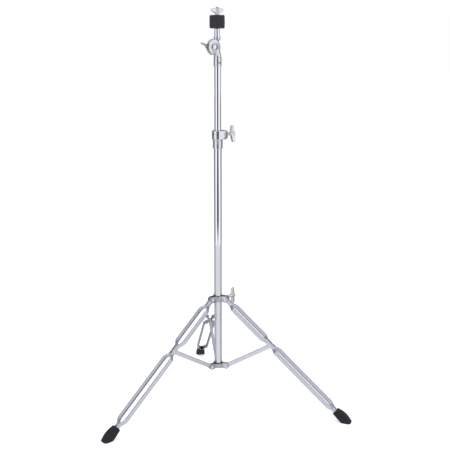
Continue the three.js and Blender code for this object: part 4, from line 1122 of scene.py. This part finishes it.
corners = [(-14, -14), (14, -14), (14, 14), (-14, 14)]
floor, tree = add_stage("floor", [(x, y, -0.0003) for x, y in corners], [(0, 1, 2, 3)])
place = {0: add_node(tree, "ShaderNodeNewGeometry").outputs["Position"], 1: (0, tube_y * MM, 0)}
from_tube = add_node(tree, "ShaderNodeVectorMath", place, operation="SUBTRACT").outputs[0]
bearing = add_node(tree, "ShaderNodeVectorMath", {0: from_tube}, operation="NORMALIZE").outputs[0]
pair = {0: bearing, 1: (sin(toward_camera), cos(toward_camera), 0)}
in_front = add_node(tree, "ShaderNodeVectorMath", pair, operation="DOT_PRODUCT").outputs["Value"]
# Painted glow for reflections: the floor shines for glossy rays only, brighter in front of the stand than at its
# sides, a painted pool of light on the floor.
painted_side_glow, painted_front_glow = 0.58, 1.16
mirrored = spread(tree, in_front, painted_side_glow, painted_front_glow, cos(radians(84)), cos(radians(66)))
rays = add_node(tree, "ShaderNodeLightPath").outputs
plain = add_node(tree, "ShaderNodeBsdfDiffuse", {"Color": (0.8, 0.8, 0.81, 1)}).outputs[0]
glow = add_node(tree, "ShaderNodeEmission", {"Strength": 0.45}).outputs[0]
lit = add_node(tree, "ShaderNodeAddShader", {0: plain, 1: glow}).outputs[0]
painted_floor_glow = add_node(tree, "ShaderNodeEmission", {"Strength": mirrored}).outputs[0]
surface = plain
for kind, seen in (("Is Camera Ray", lit), ("Is Glossy Ray", painted_floor_glow)):
    surface = add_node(tree, "ShaderNodeMixShader", {0: rays[kind], 1: surface, 2: seen}).outputs[0]
feed(tree, tree.nodes["Material Output"], {"Surface": surface})
print(floor.name, "ready")

# %% World
world = bpy.data.worlds.new("white_room")
scene.world = world
world.use_nodes = True
tree = world.node_tree
rays = add_node(tree, "ShaderNodeLightPath").outputs
seen = arithmetic(tree, "MAXIMUM", rays["Is Camera Ray"], rays["Is Glossy Ray"])
seen = arithmetic(tree, "MAXIMUM", seen, rays["Is Transmission Ray"])
feed(tree, tree.nodes["Background"], {"Color": (1, 1, 1, 1), "Strength": spread(tree, seen, 0.72, 1.0)})
scene.view_settings.view_transform = "Standard"
print("world ready")

# %% Cards that only reflections see
def add_card(name, edges, level, colour=(1, 1, 1), radius=2.0):
    """A curved card round the tube: heights with a start and an end azimuth, counted from the camera."""
    steps = 12
    points = []
    for height, start, end in edges:
        for i in range(steps + 1):
            azimuth = toward_camera + radians(start + (end - start) * i / steps)
            points.append((radius * sin(azimuth), tube_y * MM + radius * cos(azimuth), height))
    faces = []
    for row in range(len(edges) - 1):
        first = row * (steps + 1)
        faces += [(i, i + 1, i + steps + 2, i + steps + 1) for i in range(first, first + steps)]
    card, tree = add_stage(name, points, faces)
    light = add_node(tree, "ShaderNodeEmission", {"Color": (*colour, 1), "Strength": level})
    feed(tree, tree.nodes["Material Output"], {"Surface": light.outputs[0]})
    card.visible_camera = card.visible_diffuse = card.visible_shadow = card.visible_transmission = False


cool = (0.93, 0.96, 1.0)
add_card("white_front", [(0, -80, 74), (0.8, -80, 74), (0.9, -92, 74), (2.2, -92, 74)], 1.6)
add_card("dark_gap", [(0.01, -3, 4), (0.2, -26, 27), (0.36, -26, 26), (0.66, -22, 22), (2.2, -22, 22)],
         0.1, radius=1.95)
for name, start, end, level in (("grey_left", 70, 130, 0.36), ("grey_right", -130, -70, 0.38),
                                ("dark_back", 170, 190, 0.15)):
    add_card(name, [(0, start, end), (2.2, start, end)], level, cool, radius=2.05)
print("cards: 5")

# %% Lamps
aim_height = 0.55
for name, azimuth, distance, height, size, power in (("softbox_left", -48, 2.6, 1.7, 1.6, 22),
                                                     ("softbox_right", 48, 2.6, 1.7, 1.6, 16),
                                                     ("overhead", 180, 0.6, 2.7, 2.0, 14)):
    lamp_data = bpy.data.lights.new(name, "AREA")
    lamp_data.shape, lamp_data.size, lamp_data.size_y, lamp_data.energy = "RECTANGLE", size, size, power
    lamp = new_object(name, lamp_data)
    direction = toward_camera + radians(azimuth)
    lamp.location = (distance * sin(direction), tube_y * MM + distance * cos(direction), height)
    aim = Vector((0, tube_y * MM, aim_height)) - lamp.location
    lamp.rotation_mode = "QUATERNION"
    lamp.rotation_quaternion = aim.to_track_quat("-Z", "Y")
    lamp.visible_glossy = False
print("lamps: 3")
